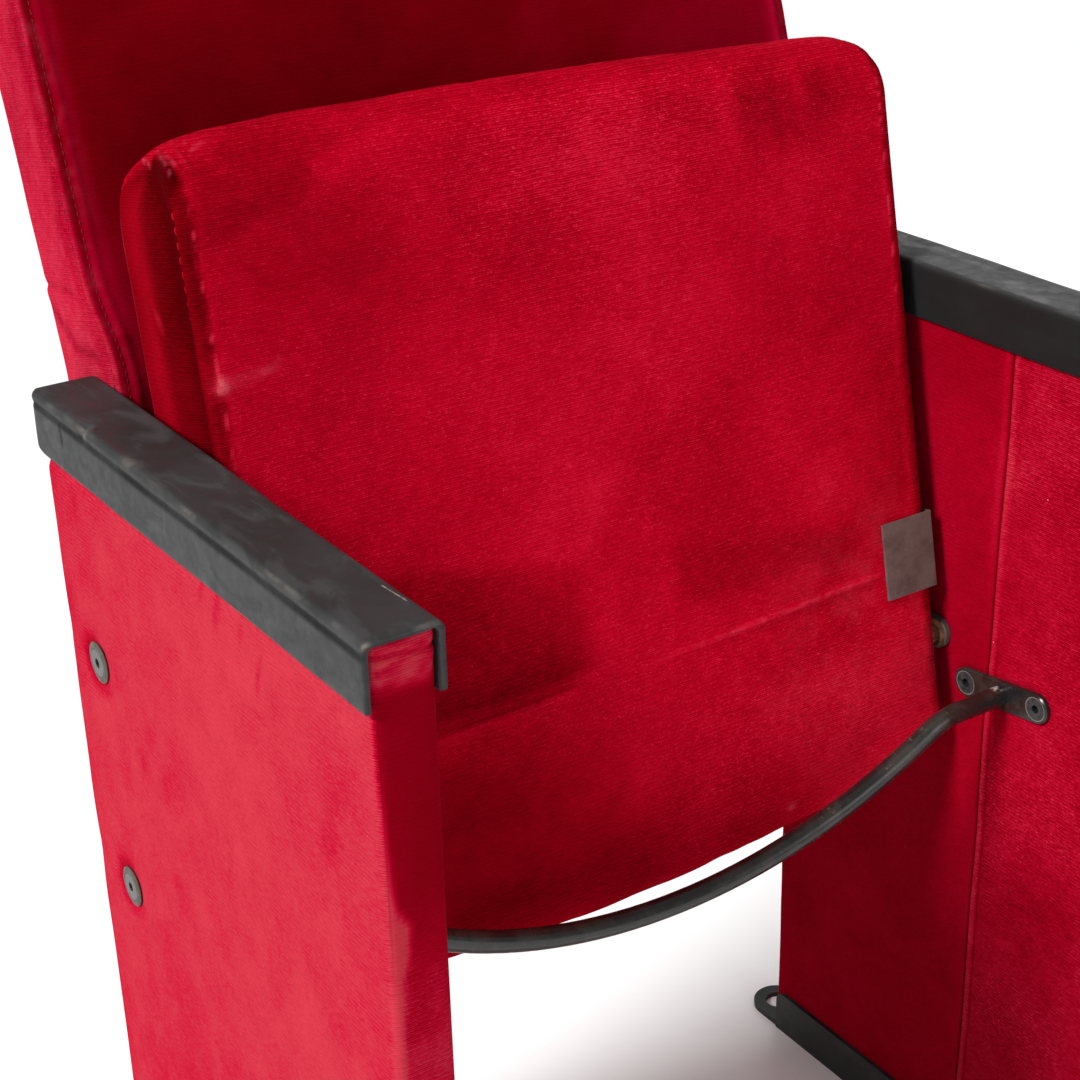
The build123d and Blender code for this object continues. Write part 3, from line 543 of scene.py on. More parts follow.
def velvet(name, lean=0.0, pitch=0.00123, sheen=0.3, seed=0.0, flecks=1.0, light=(0.465, 0.026, 0.045), upper=(0.445, 0.0060, 0.0300), mid=0.0125, at=(0.75, 1.0), mottle=1.0, lint_share=0.11):
    """Brushed velvet with fine cross ribs. The mesh's own values say how the pile lies, with painted shade and painted
    highlights added in places (nap, -1 dark to 1 light), where it is rubbed pale or carries a painted highlight
    (bloom), where the bare cloth shows (worn), how even it is (calm) and how strongly its ribs show (grain)."""
    k = Look(name)
    turned = k.place(rotation=(lean, 0, 0))
    local = k.place(location=(seed, seed * 0.7, seed * 0.3), vector=turned)
    nap_and_painted_light, worn, pale_pile_and_highlight, calm, grain = k.attr("nap_and_painted_light"), k.attr("worn"), k.attr("pale_pile_and_highlight"), k.attr("calm"), k.attr("grain")
    live = k.math("SUBTRACT", 1.0, calm, clamp=True)
    big = k.noise(6.5, local, 3.0, 0.5, 0.4)
    patch = k.noise(26.0, local, 4.0, 0.6, 0.8)
    small = k.noise(95.0, local, 3.0, 0.6, 0.5)
    brush = k.noise(1.0, k.place(scale=(40, 40, 75), rotation=(0, 0.5, 0), vector=local), 3.0, 0.6, 1.2)
    rows = k.noise(1.0, k.place(scale=(260, 260, 813), vector=local), 2.0, 0.7)
    fibres = k.noise(1.0, k.place(scale=(800, 800, 1500), vector=local), 2.0, 0.75)
    z = k.part(turned, 2)
    wobble = k.math("MULTIPLY", k.math("SUBTRACT", k.noise(30.0, local, 2.0), 0.5), 0.0030)
    place = k.math("MULTIPLY", k.math("ADD", z, wobble), 2 * math.pi / pitch)
    rib = k.math("SINE", place)
    every_other = k.math("SINE", k.math("MULTIPLY", place, 0.5))
    ribs = k.math("ADD", k.math("MULTIPLY", rib, 0.75), k.math("MULTIPLY", every_other, 0.35))
    # how light the pile lies, its painted shade and highlights included, 0 to 1
    lie = k.math("ADD", k.math("MULTIPLY", nap_and_painted_light, 0.5), 0.5)
    blotch = 0.0
    for n, amount in ((big, 0.34 * mottle), (patch, 0.30 * mottle), (small, 0.14), (brush, 0.22)):
        blotch = k.math("ADD", k.math("MULTIPLY", k.math("SUBTRACT", n, 0.5), amount), blotch)
    lie = k.math("ADD", lie, k.math("MULTIPLY", blotch, live))
    fine = k.math("ADD", k.math("MULTIPLY", k.math("SUBTRACT", rows, 0.5), 0.38), k.math("MULTIPLY", ribs, 0.090))
    fine = k.math("ADD", fine, k.math("MULTIPLY", k.math("SUBTRACT", fibres, 0.5), 0.20))
    fine = k.math("MULTIPLY", fine, k.math("ADD", k.math("MULTIPLY", grain, 1.15), 0.12))
    lie = k.math("ADD", lie, fine, clamp=True)
    ramp = k.t.nodes.new("ShaderNodeValToRGB")
    stops = ramp.color_ramp.elements
    shades = [(0.0, (0.062, 0.0001, 0.0008)), (0.25, (0.180, 0.0002, 0.0040)), (0.5, (0.330, 0.0004, mid)), (at[0], upper), (at[1], light)]
    if at[1] < 1:
        shades.append((1.0, tuple(c * 1.16 for c in light)))
    for i, (where, c) in enumerate(shades):
        e = stops[i] if i < 2 else stops.new(where)
        e.position = where
        e.color = (*c, 1)
    k.put(ramp.inputs[0], lie)
    base = ramp.outputs[0]
    # single rubbed fibres catch the light along the ribs
    up = k.ramp(lie, 0.3, 0.85)
    fleck = k.math("MULTIPLY", k.ramp(fibres, 0.56, 0.68), k.ramp(k.math("ADD", rows, k.math("MULTIPLY", ribs, 0.12)), 0.46, 0.60))
    strength = k.math("MULTIPLY", k.math("ADD", k.math("MULTIPLY", up, 0.45), k.math("MULTIPLY", pale_pile_and_highlight, 0.7)), k.math("ADD", grain, 0.08))
    fleck = k.math("MULTIPLY", fleck, k.math("MULTIPLY", strength, flecks), clamp=True)
    base = k.mix(fleck, base, (0.80, 0.048, 0.105))
    base = k.mix(k.math("MULTIPLY", pale_pile_and_highlight, k.ramp(small, 0.3, 0.7, 0.35, 1.0)), base, (0.62, 0.060, 0.110))
    base = k.mix(k.math("MULTIPLY", worn, k.ramp(k.noise(420.0, local, 3.0), 0.35, 0.6, 0.35, 1.0)), base, (0.66, 0.33, 0.30))
    lint_on = k.ramp(k.cells(58.0, local, out="Color"), 1 - lint_share, 1.005 - lint_share, smooth=False)
    lint = k.math("MULTIPLY", k.ramp(k.cells(58.0, local), 0.016, 0.028, 1.0, 0.0), lint_on)
    base = k.mix(k.math("MULTIPLY", lint, k.math("MULTIPLY", live, 0.9)), base, (0.78, 0.50, 0.42))
    height = k.math("ADD", k.math("MULTIPLY", ribs, 0.55), k.math("ADD", k.math("MULTIPLY", fibres, 1.0), k.math("MULTIPLY", rows, 1.0)))
    height = k.math("MULTIPLY", height, k.math("ADD", k.math("MULTIPLY", grain, 0.8), 0.25))
    height = k.math("ADD", height, k.math("MULTIPLY", lint, 1.5))
    soft = k.bump(k.math("MULTIPLY", k.math("ADD", patch, k.math("MULTIPLY", small, 0.35)), live), 0.30, 0.0030)
    return k.set(color=base, rough=k.ramp(lie, 0.0, 1.0, 0.95, 0.82), sheen=sheen, sheen_rough=0.30, sheen_tint=(1.0, 0.06, 0.12), spec=0.004,
                 normal=k.bump(height, 0.45, 0.00030, soft))


def worn_black(name, top=(0.032, 0.0315, 0.0325), low=(0.022, 0.0232, 0.0225), rough=(0.40, 0.70), scuff=(0.13, 0.12, 0.11), grain=0.35, scratches=()):
    """Old black coating, rubbed to a satin grey, with fine scratches along its length (Y)."""
    k = Look(name)
    blotch = k.noise(16.0, detail=4, distortion=0.5)
    cloud = k.noise(1.0, k.place(scale=(55, 22, 55), location=(4, 0, 2)), 4, 0.6, 0.6)
    fine = k.noise(150.0, detail=4, rough=0.65)
    pores = k.noise(900.0, detail=2)
    base = k.mix(k.ramp(blotch, 0.35, 0.65), low, top)
    base = k.mix(k.ramp(cloud, 0.50, 0.66, 0.0, 0.6), base, tuple(x * 1.8 for x in top))
    scr = k.noise(1.0, k.place(scale=(900, 22, 900), rotation=(0.0, 0.0, 0.05)), 3, 0.6)
    scr2 = k.noise(1.0, k.place(scale=(500, 45, 500), rotation=(0.0, 0.05, -0.35), location=(3, 1, 2)), 3, 0.6)
    where = k.ramp(k.noise(20.0, k.place(location=(5, 2, 1)), 3), 0.48, 0.66)
    marks = k.math("MULTIPLY", k.math("MAXIMUM", k.ramp(scr, 0.66, 0.72), k.ramp(scr2, 0.69, 0.74)), where, clamp=True)
    base = k.mix(k.math("MULTIPLY", marks, 0.42), base, scuff)
    worn, dark = k.attr("worn"), k.attr("dark")
    base = k.mix(k.math("MULTIPLY", worn, k.ramp(fine, 0.35, 0.6, 0.3, 1.0)), base, (0.20, 0.175, 0.15))
    for (ax, ay), (bx, by), wide in scratches:
        dx, dy = bx - ax, by - ay
        size = math.hypot(dx, dy)
        ox, oy = k.math("SUBTRACT", k.part(k.obj, 0), ax), k.math("SUBTRACT", k.part(k.obj, 1), ay)
        t = k.math("ADD", k.math("MULTIPLY", ox, dx / size ** 2), k.math("MULTIPLY", oy, dy / size ** 2))
        off = k.math("ABSOLUTE", k.math("SUBTRACT", k.math("MULTIPLY", ox, dy / size), k.math("MULTIPLY", oy, dx / size)))
        on = k.math("MULTIPLY", k.ramp(off, wide * 0.4, wide, 1.0, 0.0), k.math("MULTIPLY", k.ramp(t, 0.0, 0.12), k.ramp(t, 0.85, 1.0, 1.0, 0.0)))
        base = k.mix(k.math("MULTIPLY", on, k.ramp(k.noise(260.0, detail=2), 0.35, 0.6, 0.35, 1.0)), base, (0.34, 0.25, 0.22))
    # painted shade: the mesh's dark values darken grooves, slits, the cut ends and faces in shadow to near black
    base = k.mix(dark, base, (0.0035, 0.0035, 0.0035))
    dust_at = k.cells(75.0)
    dust = k.math("MULTIPLY", k.ramp(dust_at, 0.02, 0.035, 1.0, 0.0), k.ramp(k.cells(75.0, out="Color"), 0.88, 0.89, smooth=False))
    base = k.mix(k.math("MULTIPLY", dust, 0.4), base, (0.42, 0.40, 0.37))
    r = k.ramp(k.math("ADD", k.math("MULTIPLY", cloud, 0.6), k.math("MULTIPLY", fine, 0.4)), 0.3, 0.7, rough[0], rough[1])
    r = k.math("ADD", r, k.math("MULTIPLY", dark, 0.3), clamp=True)
    h = k.math("ADD", k.math("MULTIPLY", pores, grain), k.math("MULTIPLY", fine, 0.8))
    h = k.math("SUBTRACT", h, k.math("MULTIPLY", marks, 0.5))
    return k.set(color=base, rough=r, spec=0.28, normal=k.bump(h, 0.30, 0.0004, k.bump(blotch, 0.15, 0.003)))


def gloss_paint(name):
    """Thick black gloss paint with small chips along its upper side, and at each weld a light grey place on the upper
    side that is bare metal with a painted highlight.
    """
    k = Look(name)
    up = k.part(k.t.nodes.new("ShaderNodeNewGeometry").outputs["Normal"], 2)
    chips = k.noise(330.0, detail=5, rough=0.7, distortion=0.3)
    where = k.noise(26.0, k.place(location=(2, 4, 1)), 3)
    edge = k.math("ADD", k.math("MULTIPLY", k.math("SUBTRACT", where, 0.5), 0.55), k.math("MULTIPLY", k.ramp(up, 0.1, 0.9), 0.05))
    bare = k.ramp(k.math("ADD", chips, edge), 0.72, 0.75)
    dull = k.ramp(k.math("ADD", k.noise(70.0, detail=4), edge), 0.46, 0.66)
    base = k.mix(dull, (0.0125, 0.0120, 0.0110), (0.028, 0.025, 0.021))
    base = k.mix(k.math("MULTIPLY", bare, 0.8), base, (0.100, 0.060, 0.038))
    bright = k.ramp(k.noise(520.0, detail=4, rough=0.8), 0.71, 0.75)
    base = k.mix(k.math("MULTIPLY", bright, k.ramp(up, 0.0, 0.7, 0.15, 0.8)), base, (0.34, 0.30, 0.26))
    side = k.math("ABSOLUTE", k.part(k.obj, 0))
    # bare metal at the weld, painted light grey on its upper side only: a painted highlight
    weld = k.math("MULTIPLY", k.ramp(side, 0.2285, 0.2325), k.ramp(k.noise(240.0, detail=4), 0.45, 0.62))
    weld = k.math("MULTIPLY", weld, k.math("MULTIPLY", k.ramp(up, 0.2, 0.7), k.ramp(k.math("ABSOLUTE", k.math("SUBTRACT", k.part(k.obj, 1), -0.0802)), 0.006, 0.008, 1.0, 0.0)))
    base = k.mix(k.math("MULTIPLY", weld, k.ramp(side, 0.2358, 0.2362, 1.0, 0.0)), base, (0.45, 0.42, 0.40))
    r = k.math("ADD", k.ramp(k.noise(90.0, detail=4), 0.3, 0.7, 0.16, 0.34), k.math("MULTIPLY", bare, 0.35))
    h = k.math("SUBTRACT", k.math("MULTIPLY", k.noise(60.0, detail=3), 0.8), k.math("MULTIPLY", bare, 0.4))
    return k.set(color=base, rough=r, spec=0.5, normal=k.bump(h, 0.35, 0.0008))


def rust(name):
    k = Look(name)
    a = k.noise(140.0, detail=6, rough=0.7)
    b = k.noise(520.0, detail=4, rough=0.7)
    base = k.mix(k.ramp(a, 0.35, 0.65), (0.060, 0.028, 0.016), (0.26, 0.115, 0.048))
    base = k.mix(k.ramp(b, 0.55, 0.72, 0.0, 0.6), base, (0.36, 0.20, 0.10))
    return k.set(color=base, rough=k.ramp(a, 0.3, 0.7, 0.62, 0.9), metal=0.0, spec=0.3, normal=k.bump(k.math("ADD", a, k.math("MULTIPLY", b, 0.6)), 0.6, 0.0006))


def metal(name, color, other, rough=(0.32, 0.5), metallic=0.9, line=(30, 400, 400)):
    k = Look(name)
    a = k.noise(90.0, detail=4, rough=0.6)
    b = k.noise(1.0, k.place(scale=line), 3, 0.6)
    c = k.noise(600.0, detail=3, rough=0.7)
    base = k.mix(k.ramp(a, 0.35, 0.68), color, other)
    base = k.mix(k.ramp(c, 0.6, 0.75, 0.0, 0.35), base, tuple(x * 0.4 for x in color))
    return k.set(color=base, rough=k.ramp(k.math("ADD", k.math("MULTIPLY", a, 0.5), k.math("MULTIPLY", b, 0.5)), 0.3, 0.7, *rough), metal=metallic,
                 normal=k.bump(k.math("ADD", b, c), 0.15, 0.0003))


def bolt_black(name):
    """Blackened bolts and washers: a thin rubbed ring at the rim of each 16 mm head on the inner faces; the heads on
    the outer faces are browner, with a dark gap and a brown rim round them.
    """
    k = Look(name)
    a = k.noise(240.0, detail=5, rough=0.7)
    c = k.noise(700.0, detail=3, rough=0.7)
    base = k.mix(k.ramp(a, 0.35, 0.65), (0.020, 0.021, 0.0215), (0.052, 0.054, 0.054))
    base = k.mix(k.ramp(c, 0.64, 0.74, 0.0, 0.7), base, (0.20, 0.19, 0.18))
    y, z = k.part(k.obj, 1), k.part(k.obj, 2)
    away = 1.0
    for cy, cz, face in BOLT_CENTRES:
        dy, dz = k.math("SUBTRACT", y, cy), k.math("SUBTRACT", z, cz)
        rr = k.math("SQRT", k.math("ADD", k.math("MULTIPLY", dy, dy), k.math("MULTIPLY", dz, dz)))
        away = k.math("MINIMUM", rr, away)
    outside = k.math("GREATER_THAN", k.math("ABSOLUTE", k.part(k.obj, 0)), 0.26)
    base = k.mix(k.math("MULTIPLY", outside, 0.50), base, (0.20, 0.195, 0.185))
    ring = k.math("MULTIPLY", k.ramp(away, 0.0070, 0.0075), k.ramp(away, 0.0079, 0.0082, 1.0, 0.0))
    base = k.mix(k.math("MULTIPLY", ring, k.math("SUBTRACT", 0.65, k.math("MULTIPLY", outside, 0.65))), base, (0.26, 0.25, 0.24))
    gap = k.math("MULTIPLY", k.ramp(away, 0.0076, 0.0080), k.ramp(away, 0.0084, 0.0088, 1.0, 0.0))
    base = k.mix(k.math("MULTIPLY", gap, k.math("MULTIPLY", outside, 0.9)), base, (0.012, 0.011, 0.010))
    rim = k.math("MULTIPLY", k.ramp(away, 0.0084, 0.0092), outside)
    base = k.mix(k.math("MULTIPLY", rim, k.ramp(a, 0.3, 0.6, 0.6, 1.0)), base, (0.070, 0.050, 0.032))
    # painted shade: the hex socket in each head is near black
    base = k.mix(k.ramp(away, 0.0024, 0.0030, 0.92, 0.0), base, (0.006, 0.006, 0.006))
    return k.set(color=base, rough=k.ramp(a, 0.3, 0.7, 0.38, 0.60), metal=0.2, spec=0.45, normal=k.bump(k.math("ADD", a, c), 0.3, 0.0003))


def plain(name, a_col, b_col, scale=80.0, rough=(0.5, 0.7), bump=0.3, size=0.0005, speckle=None, spec=0.35):
    k = Look(name)
    a = k.noise(scale, detail=5, rough=0.65)
    b = k.noise(scale * 7, detail=3, rough=0.7)
    base = k.mix(k.ramp(a, 0.35, 0.65), a_col, b_col)
    if speckle:
        base = k.mix(k.ramp(b, 0.62, 0.7, 0.0, 0.6), base, speckle)
    return k.set(color=base, rough=k.ramp(a, 0.3, 0.7, *rough), spec=spec, normal=k.bump(k.math("ADD", a, k.math("MULTIPLY", b, 0.6)), bump, size))


def wood(name):
    k = Look(name)
    v = k.place(scale=(14, 14, 1.4))
    warp = k.noise(3.0, v, 3)
    ring = k.math("SINE", k.math("MULTIPLY", k.math("ADD", k.noise(1.0, v, 2), k.math("MULTIPLY", warp, 0.25)), 90))
    fine = k.noise(1.0, k.place(scale=(700, 700, 18)), 3)
    base = k.mix(k.ramp(ring, -1, 1), (0.42, 0.27, 0.14), (0.60, 0.43, 0.25))
    base = k.mix(k.ramp(fine, 0.5, 0.7, 0.0, 0.5), base, (0.30, 0.18, 0.09))
    return k.set(color=base, rough=0.72, spec=0.3, normal=k.bump(fine, 0.3, 0.0003))


def foam_look(name):
    k = Look(name)
    c = k.cells(520.0, feature="F1")
    a = k.noise(30.0, detail=3)
    base = k.mix(k.ramp(a, 0.35, 0.65), (0.70, 0.55, 0.27), (0.80, 0.68, 0.40))
    base = k.mix(k.ramp(c, 0.25, 0.6, 0.5, 0.0), base, (0.45, 0.33, 0.14))
    return k.set(color=base, rough=0.95, spec=0.1, normal=k.bump(c, 0.5, 0.0008))


# the panels' pinkish light end of the ramp is a painted sheen, shown most on the outer faces
V_PANEL = velvet("panel_velvet", sheen=0.20, at=(0.70, 0.84), light=(0.450, 0.029, 0.047))
V_SEAT = velvet("seat_velvet", lean=LEAN, sheen=0.10, seed=3.1, light=(0.640, 0.008, 0.036), upper=(0.500, 0.0008, 0.0170), mid=0.0085, mottle=1.35, lint_share=0.34)
V_BACK = velvet("back_velvet", lean=math.radians(12.0), sheen=0.12, seed=7.7, mid=0.0175)
M_THREAD = plain("red_thread", (0.10, 0.0004, 0.003), (0.22, 0.003, 0.010), 900, (0.7, 0.9), 0.4, 0.0002)
# the seat's stitches use a lighter copy of the red thread: painted highlight
M_THREAD_PAINTED_HIGHLIGHT = plain("red_thread_painted_highlight", (0.36, 0.0006, 0.008), (0.52, 0.0015, 0.016), 900, (0.7, 0.9), 0.4, 0.0002, spec=0.03)
M_CAP = worn_black("cap_black", scratches=(((-0.2414, -0.1774), (-0.2401, -0.1988), 0.0005),))
M_SHOE = worn_black("shoe_black", (0.022, 0.021, 0.020), (0.014, 0.0145, 0.0145), (0.42, 0.60))
M_BAR = gloss_paint("bar_black")
M_DARK = metal("dark_steel", (0.055, 0.05, 0.045), (0.10, 0.085, 0.07), (0.45, 0.7), 0.4)
M_RUST = rust("rusty_steel")
M_NYLON = plain("nylon", (0.72, 0.71, 0.66), (0.80, 0.79, 0.75), 120, (0.4, 0.55), 0.15, 0.0003)
M_RUBBER = plain("buffer_rubber", (0.018, 0.018, 0.018), (0.035, 0.034, 0.033), 160, (0.6, 0.85), 0.3, 0.0004, (0.09, 0.085, 0.08))
M_PAD = plain("pad_grey", (0.085, 0.058, 0.052), (0.125, 0.088, 0.078), 70, (0.48, 0.66), 0.3, 0.0004, (0.20, 0.16, 0.14))
M_SPRING = metal("spring_steel", (0.30, 0.29, 0.28), (0.20, 0.18, 0.16), (0.28, 0.45), 1.0)
M_BOLT = bolt_black("black_bolt")
M_ZINC = metal("zinc_fastener", (0.55, 0.55, 0.53), (0.42, 0.42, 0.40), (0.3, 0.5), 1.0)
M_WOOD = wood("wood_board")
M_FOAM = foam_look("foam")

SLOT_LOOK = {"panel_velvet": V_PANEL, "back_velvet": V_BACK, "seat_velvet": V_SEAT, "foam": M_FOAM, "wood_board": M_WOOD, "cap_black": M_CAP,
             "shoe_black": M_SHOE, "bar_black": M_BAR, "dark_steel": M_DARK, "rusty_steel": M_RUST, "nylon": M_NYLON, "buffer_rubber": M_RUBBER,
             "pad_grey": M_PAD, "spring_steel": M_SPRING, "black_bolt": M_BOLT, "zinc_fastener": M_ZINC}
for sub in frame["record"]["subparts"]:
    ob = nodes[sub["node"]]
    ob.data.materials.clear()
    ob.data.materials.append(SLOT_LOOK[sub["material_slot"]])


def wear(ob, look, slot, body, *stands_for):
    ob.data.materials.clear()
    ob.data.materials.append(look)
    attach(ob, body)
    if stands_for:
        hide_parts(*stands_for)
    return ob


# ---------------------------------------------------------------- side panels
SEAM_LINE = ((33, 158.4), (75, 157.9), (180, 157.3), (282, 156.6), (360, 156.0), (440, 155.4), (520, 153.8), (600, 152.3), (632, 151.8))


def seam_y(z):
    a = np.array(SEAM_LINE)
    return np.interp(z, a[:, 0], a[:, 1]) + 0.8 * np.sin(z / 31.0) * np.sin(z / 77.0)


def side_cover(side, s):
    x0, x1, y0, y1, z0, z1 = 239.5, 271.5, 2.5, 349.5, 4.3, 631.4
    r = 5.0
    xs = lines((x0, x0 + r, 1.6), (x0 + r, x1 - r, 2.4), (x1 - r, x1, 1.2))
    ys = lines((y0, y0 + r, 1.6), (y0 + r, 98, 6.5), (98, 143, 2.6), (143, 149, 1.5), (149, 161, 0.75), (161, 168, 1.75), (168, 188, 2.6), (188, 258, 4.5), (258, y1 - r, 2.6), (y1 - r, y1, 1.6))
    zs = lines((z0, 33, 8), (33, 300, 4.5), (300, 360, 3.0), (360, 414, 2.1), (414, 540, 3.0), (540, 592, 4.5), (592, z1, 1.5))
    v, f = box_grid(xs, ys, zs)
    # round the upright corners
    ix, iy = np.clip(v[:, 0], x0 + r, x1 - r), np.clip(v[:, 1], y0 + r, y1 - r)
    dx, dy = v[:, 0] - ix, v[:, 1] - iy
    corner = (dx != 0) & (dy != 0)
    big, small = np.maximum(abs(dx), abs(dy)), np.minimum(abs(dx), abs(dy))
    ang = math.pi / 4 * small / np.maximum(big, 1e-9)
    reach = r * big / r
    cx = np.where(abs(dx) >= abs(dy), np.cos(ang), np.sin(ang)) * reach * np.sign(dx)
    cy = np.where(abs(dx) >= abs(dy), np.sin(ang), np.cos(ang)) * reach * np.sign(dy)
    p = v.copy()
    p[:, 0] = np.where(corner, ix + cx, v[:, 0])
    p[:, 1] = np.where(corner, iy + cy, v[:, 1])
    n = np.zeros_like(p)
    n[:, 0] = np.where(corner, cx, np.where(abs(v[:, 0] - x1) < 1e-6, 1.0, np.where(abs(v[:, 0] - x0) < 1e-6, -1.0, 0)))
    n[:, 1] = np.where(corner, cy, np.where(abs(v[:, 1] - y1) < 1e-6, 1.0, np.where(abs(v[:, 1] - y0) < 1e-6, -1.0, 0)))
    n /= np.maximum(np.linalg.norm(n, axis=1), 1e-9)[:, None]
    ends = (v[:, 2] <= z0 + 1e-6) | (v[:, 2] >= z1 - 1e-6)
    q = p.copy()
    q[:, 0] *= s
    seed = 11 if s < 0 else 47
    x, y, z = p[:, 0], p[:, 1], p[:, 2]
    free = step(z, 34.5, 46) * (1 - step(z, 592, 600.2))
    outer, inner = np.clip(n[:, 0], 0, 1), np.clip(-n[:, 0], 0, 1)
    front, rear = np.clip(-n[:, 1], 0, 1), np.clip(n[:, 1], 0, 1)
    d = free * (0.35 * fbm(q, 95, seed) + 0.16 * vnoise(q, 28, seed + 5))
    # outer face: soft crown, puffed out towards the rear and the cap, drawn in at the two bolts
    d += outer * free * (0.7 * np.sin(math.pi * np.clip((y - y0) / (y1 - y0), 0, 1)))
    high = np.interp(z, [40, 190, 290, 345, 400, 480, 540, 600], [0, -0.4, 0.0, 0.3, 0.7, 0.9, 1.2, 1.4])
    d += free * high * step(y, 250, 340) * (outer + 0.75 * rear)
    tuck_painted_shade = np.zeros(len(p))
    for b, (by, bz) in enumerate(BACK_BOLTS):
        rr = np.hypot(y - by, z - bz)
        th = np.arctan2(z - bz, y - by)
        ring = bell(rr, 25, 11) * (1.0 + 0.55 * np.cos(5 * th + 1.1 * b) + 0.35 * np.cos(9 * th + 0.7))
        d += outer * (0.5 * ring * (rr > 12.5))
        pull = np.exp(-(rr / 24.0) ** 2)
        d = d * (1 - outer * pull) - outer * pull * 0.9 - outer * 6.0 * (1 - step(rr, 6.0, 9.8))
        # creases from the bolt to the rear edge
        for dz, w in ((9, 2.6), (-7, 3.0)):
            line = bell(z - bz - dz * step(y, by, y1), 0, w) * step(y, by + 8, by + 16)
            d -= outer * 0.35 * line * (1 - step(y, y1 - 16, y1 - 5))
        d -= (rear + outer * step(y, 338, 349)) * 0.45 * bell(z, bz + 4, 14)
        # painted shade: a darker ring in the dimple round each bolt cup, strongest towards the rear edge
        tuck_painted_shade = np.maximum(tuck_painted_shade, outer * np.exp(-((rr - 13) / 7.0) ** 2) * (rr > 9) * (0.50 + 0.50 * np.cos(th) - 0.15 * np.sin(th)))
    # inner face: the welted double seam
    e = y - seam_y(z)
    in_free = free
    d += inner * in_free * (0.70 * np.exp(-((e + 2.9) / 2.4) ** 4) + 0.45 * bell(e, 4.2, 3.2) - 1.0 * bell(e, 0.1, 0.95) - 0.45 * bell(e, -6.3, 1.1))
    d += inner * in_free * (0.3 * vnoise(q * [1, 1, 1], (40, 9, 60), seed + 9) * bell(e, 0, 26))
    # pressed flat under the bar's end plate and the pivot plate
    press = 1 - step(segment(y, z, (171.1, 376.0), (112.1, 383.6)), 8.4, 11.0)
    press = np.maximum(press, 1 - step(segment(y, z, (200, 400), (266, 400)), 9.0, 11.5))
    d = d * (1 - inner * press) - 1.1 * inner * press
    d += inner * free * 0.5 * bell(segment(y, z, (171.1, 376.0), (112.1, 383.6)), 14.5, 3.0) * (0.7 + 0.5 * vnoise(q, 14, seed + 63))
    # front edge, with the cloth folded over the board inside the open end of the cap
    d += front * free * 0.5 * np.sin(math.pi * np.clip((x - x0) / (x1 - x0), 0, 1))
    fold_z = 626.3 - 3.4 * (x1 - x) / (x1 - x0) + 0.7 * np.sin(x / 3.1)
    mouth = front * step(z, 601, 616)
    d += mouth * (0.9 * step(z, 609, 621) + 0.45 * vnoise(q, (9, 9, 6), seed + 3))
    d -= mouth * 1.2 * bell(z, fold_z, 1.3)
    d += mouth * 0.5 * bell(z, fold_z - 3.6, 2.0)
    d = np.where(ends & (front < 0.1), 0, d)
    m = p + n * d[:, None]
    # it stays inside the shoe and the cap
    hidden = (z < 34.0) | (z > 600.4)
    m[:, 0] = np.where(hidden, np.clip(m[:, 0], 239.45, 271.6), m[:, 0])
    m[:, 0] *= s
    if s < 0:
        f = f[:, ::-1]
    ob = new_object("side_cover_" + side + "_velvet", metres(m), f)
    # how the pile lies, with painted shade and painted highlights on it where noted
    if s < 0:
        edge_x = np.interp(z, [0, 380, 434, 466, 480, 493, 502, 523, 553, 569, 600], [262, 264, 266.3, 265.2, 261, 258.9, 264.6, 267.4, 268.8, 270.5, 271])
    else:
        edge_x = np.interp(z, [0, 300, 500, 600], [264, 266, 267, 270])
    edge_x = edge_x + 1.1 * vnoise(q, (99, 99, 32), seed + 21) + 0.6 * vnoise(q, (99, 99, 14), seed + 22)
    on_front = step(-n[:, 1], 0.35, 0.75)
    light_side = step(x, edge_x - 2.4, edge_x + 2.4)
    low = 1 - step(z, 440, 515)
    front_nap_and_painted_light = -0.37 + 0.97 * light_side + 0.20 * low + 0.12 * fbm(q, (20, 20, 70), seed + 31)
    front_nap_and_painted_light += 0.40 * (1 - step(z, 430, 520)) * (1 - 0.5 * light_side)
    front_nap_and_painted_light += 0.16 * low * vnoise(q, (7, 9, 13), seed + 36)
    # in the cap's open end: a lighter band of folded-over pile, painted shade along the fold and a painted highlight
    # line just below it
    front_nap_and_painted_light += mouth * ((0.85 + 0.35 * vnoise(q, (5, 5, 4), seed + 37)) * step(z, 601, 613) - 0.45 * bell(z, fold_z, 1.2) + 0.55 * bell(z, fold_z - 2.6, 1.1) * step(x, 252, 262))
    # the outer face is set much lighter and pinker than the inner face: painted sheen of the pile seen at a grazing
    # angle
    outer_nap_and_painted_light = 0.60 - 0.20 * (1 - step(z, 60, 330)) + 0.16 * fbm(q, (60, 90, 130), seed + 33) + 0.10 * vnoise(q, (14, 14, 22), seed + 34) - 0.75 * tuck_painted_shade - 0.18 * bell(y, y1, 14)
    for cy, cz, wy, wz in ((163, 594, 2.4, 9), (147, 590, 3, 12), (124, 586, 2.2, 8), (106, 577, 2.0, 9), (110, 566, 2.6, 7), (49, 514, 9, 16), (38, 545, 7, 12)):
        outer_nap_and_painted_light -= 0.30 * np.exp(-((y - cy + 0.35 * (z - cz)) / wy) ** 2 - ((z - cz) / wz) ** 2)
    ahead = step(-e, 0, 2)
    inner_nap_and_painted_light = -0.14 + 0.22 * fbm(q, (60, 60, 90), seed + 35) + 0.12 * ahead + 0.14 * ahead * (1 - step(-e, 20, 70)) * step(z, 380, 520)
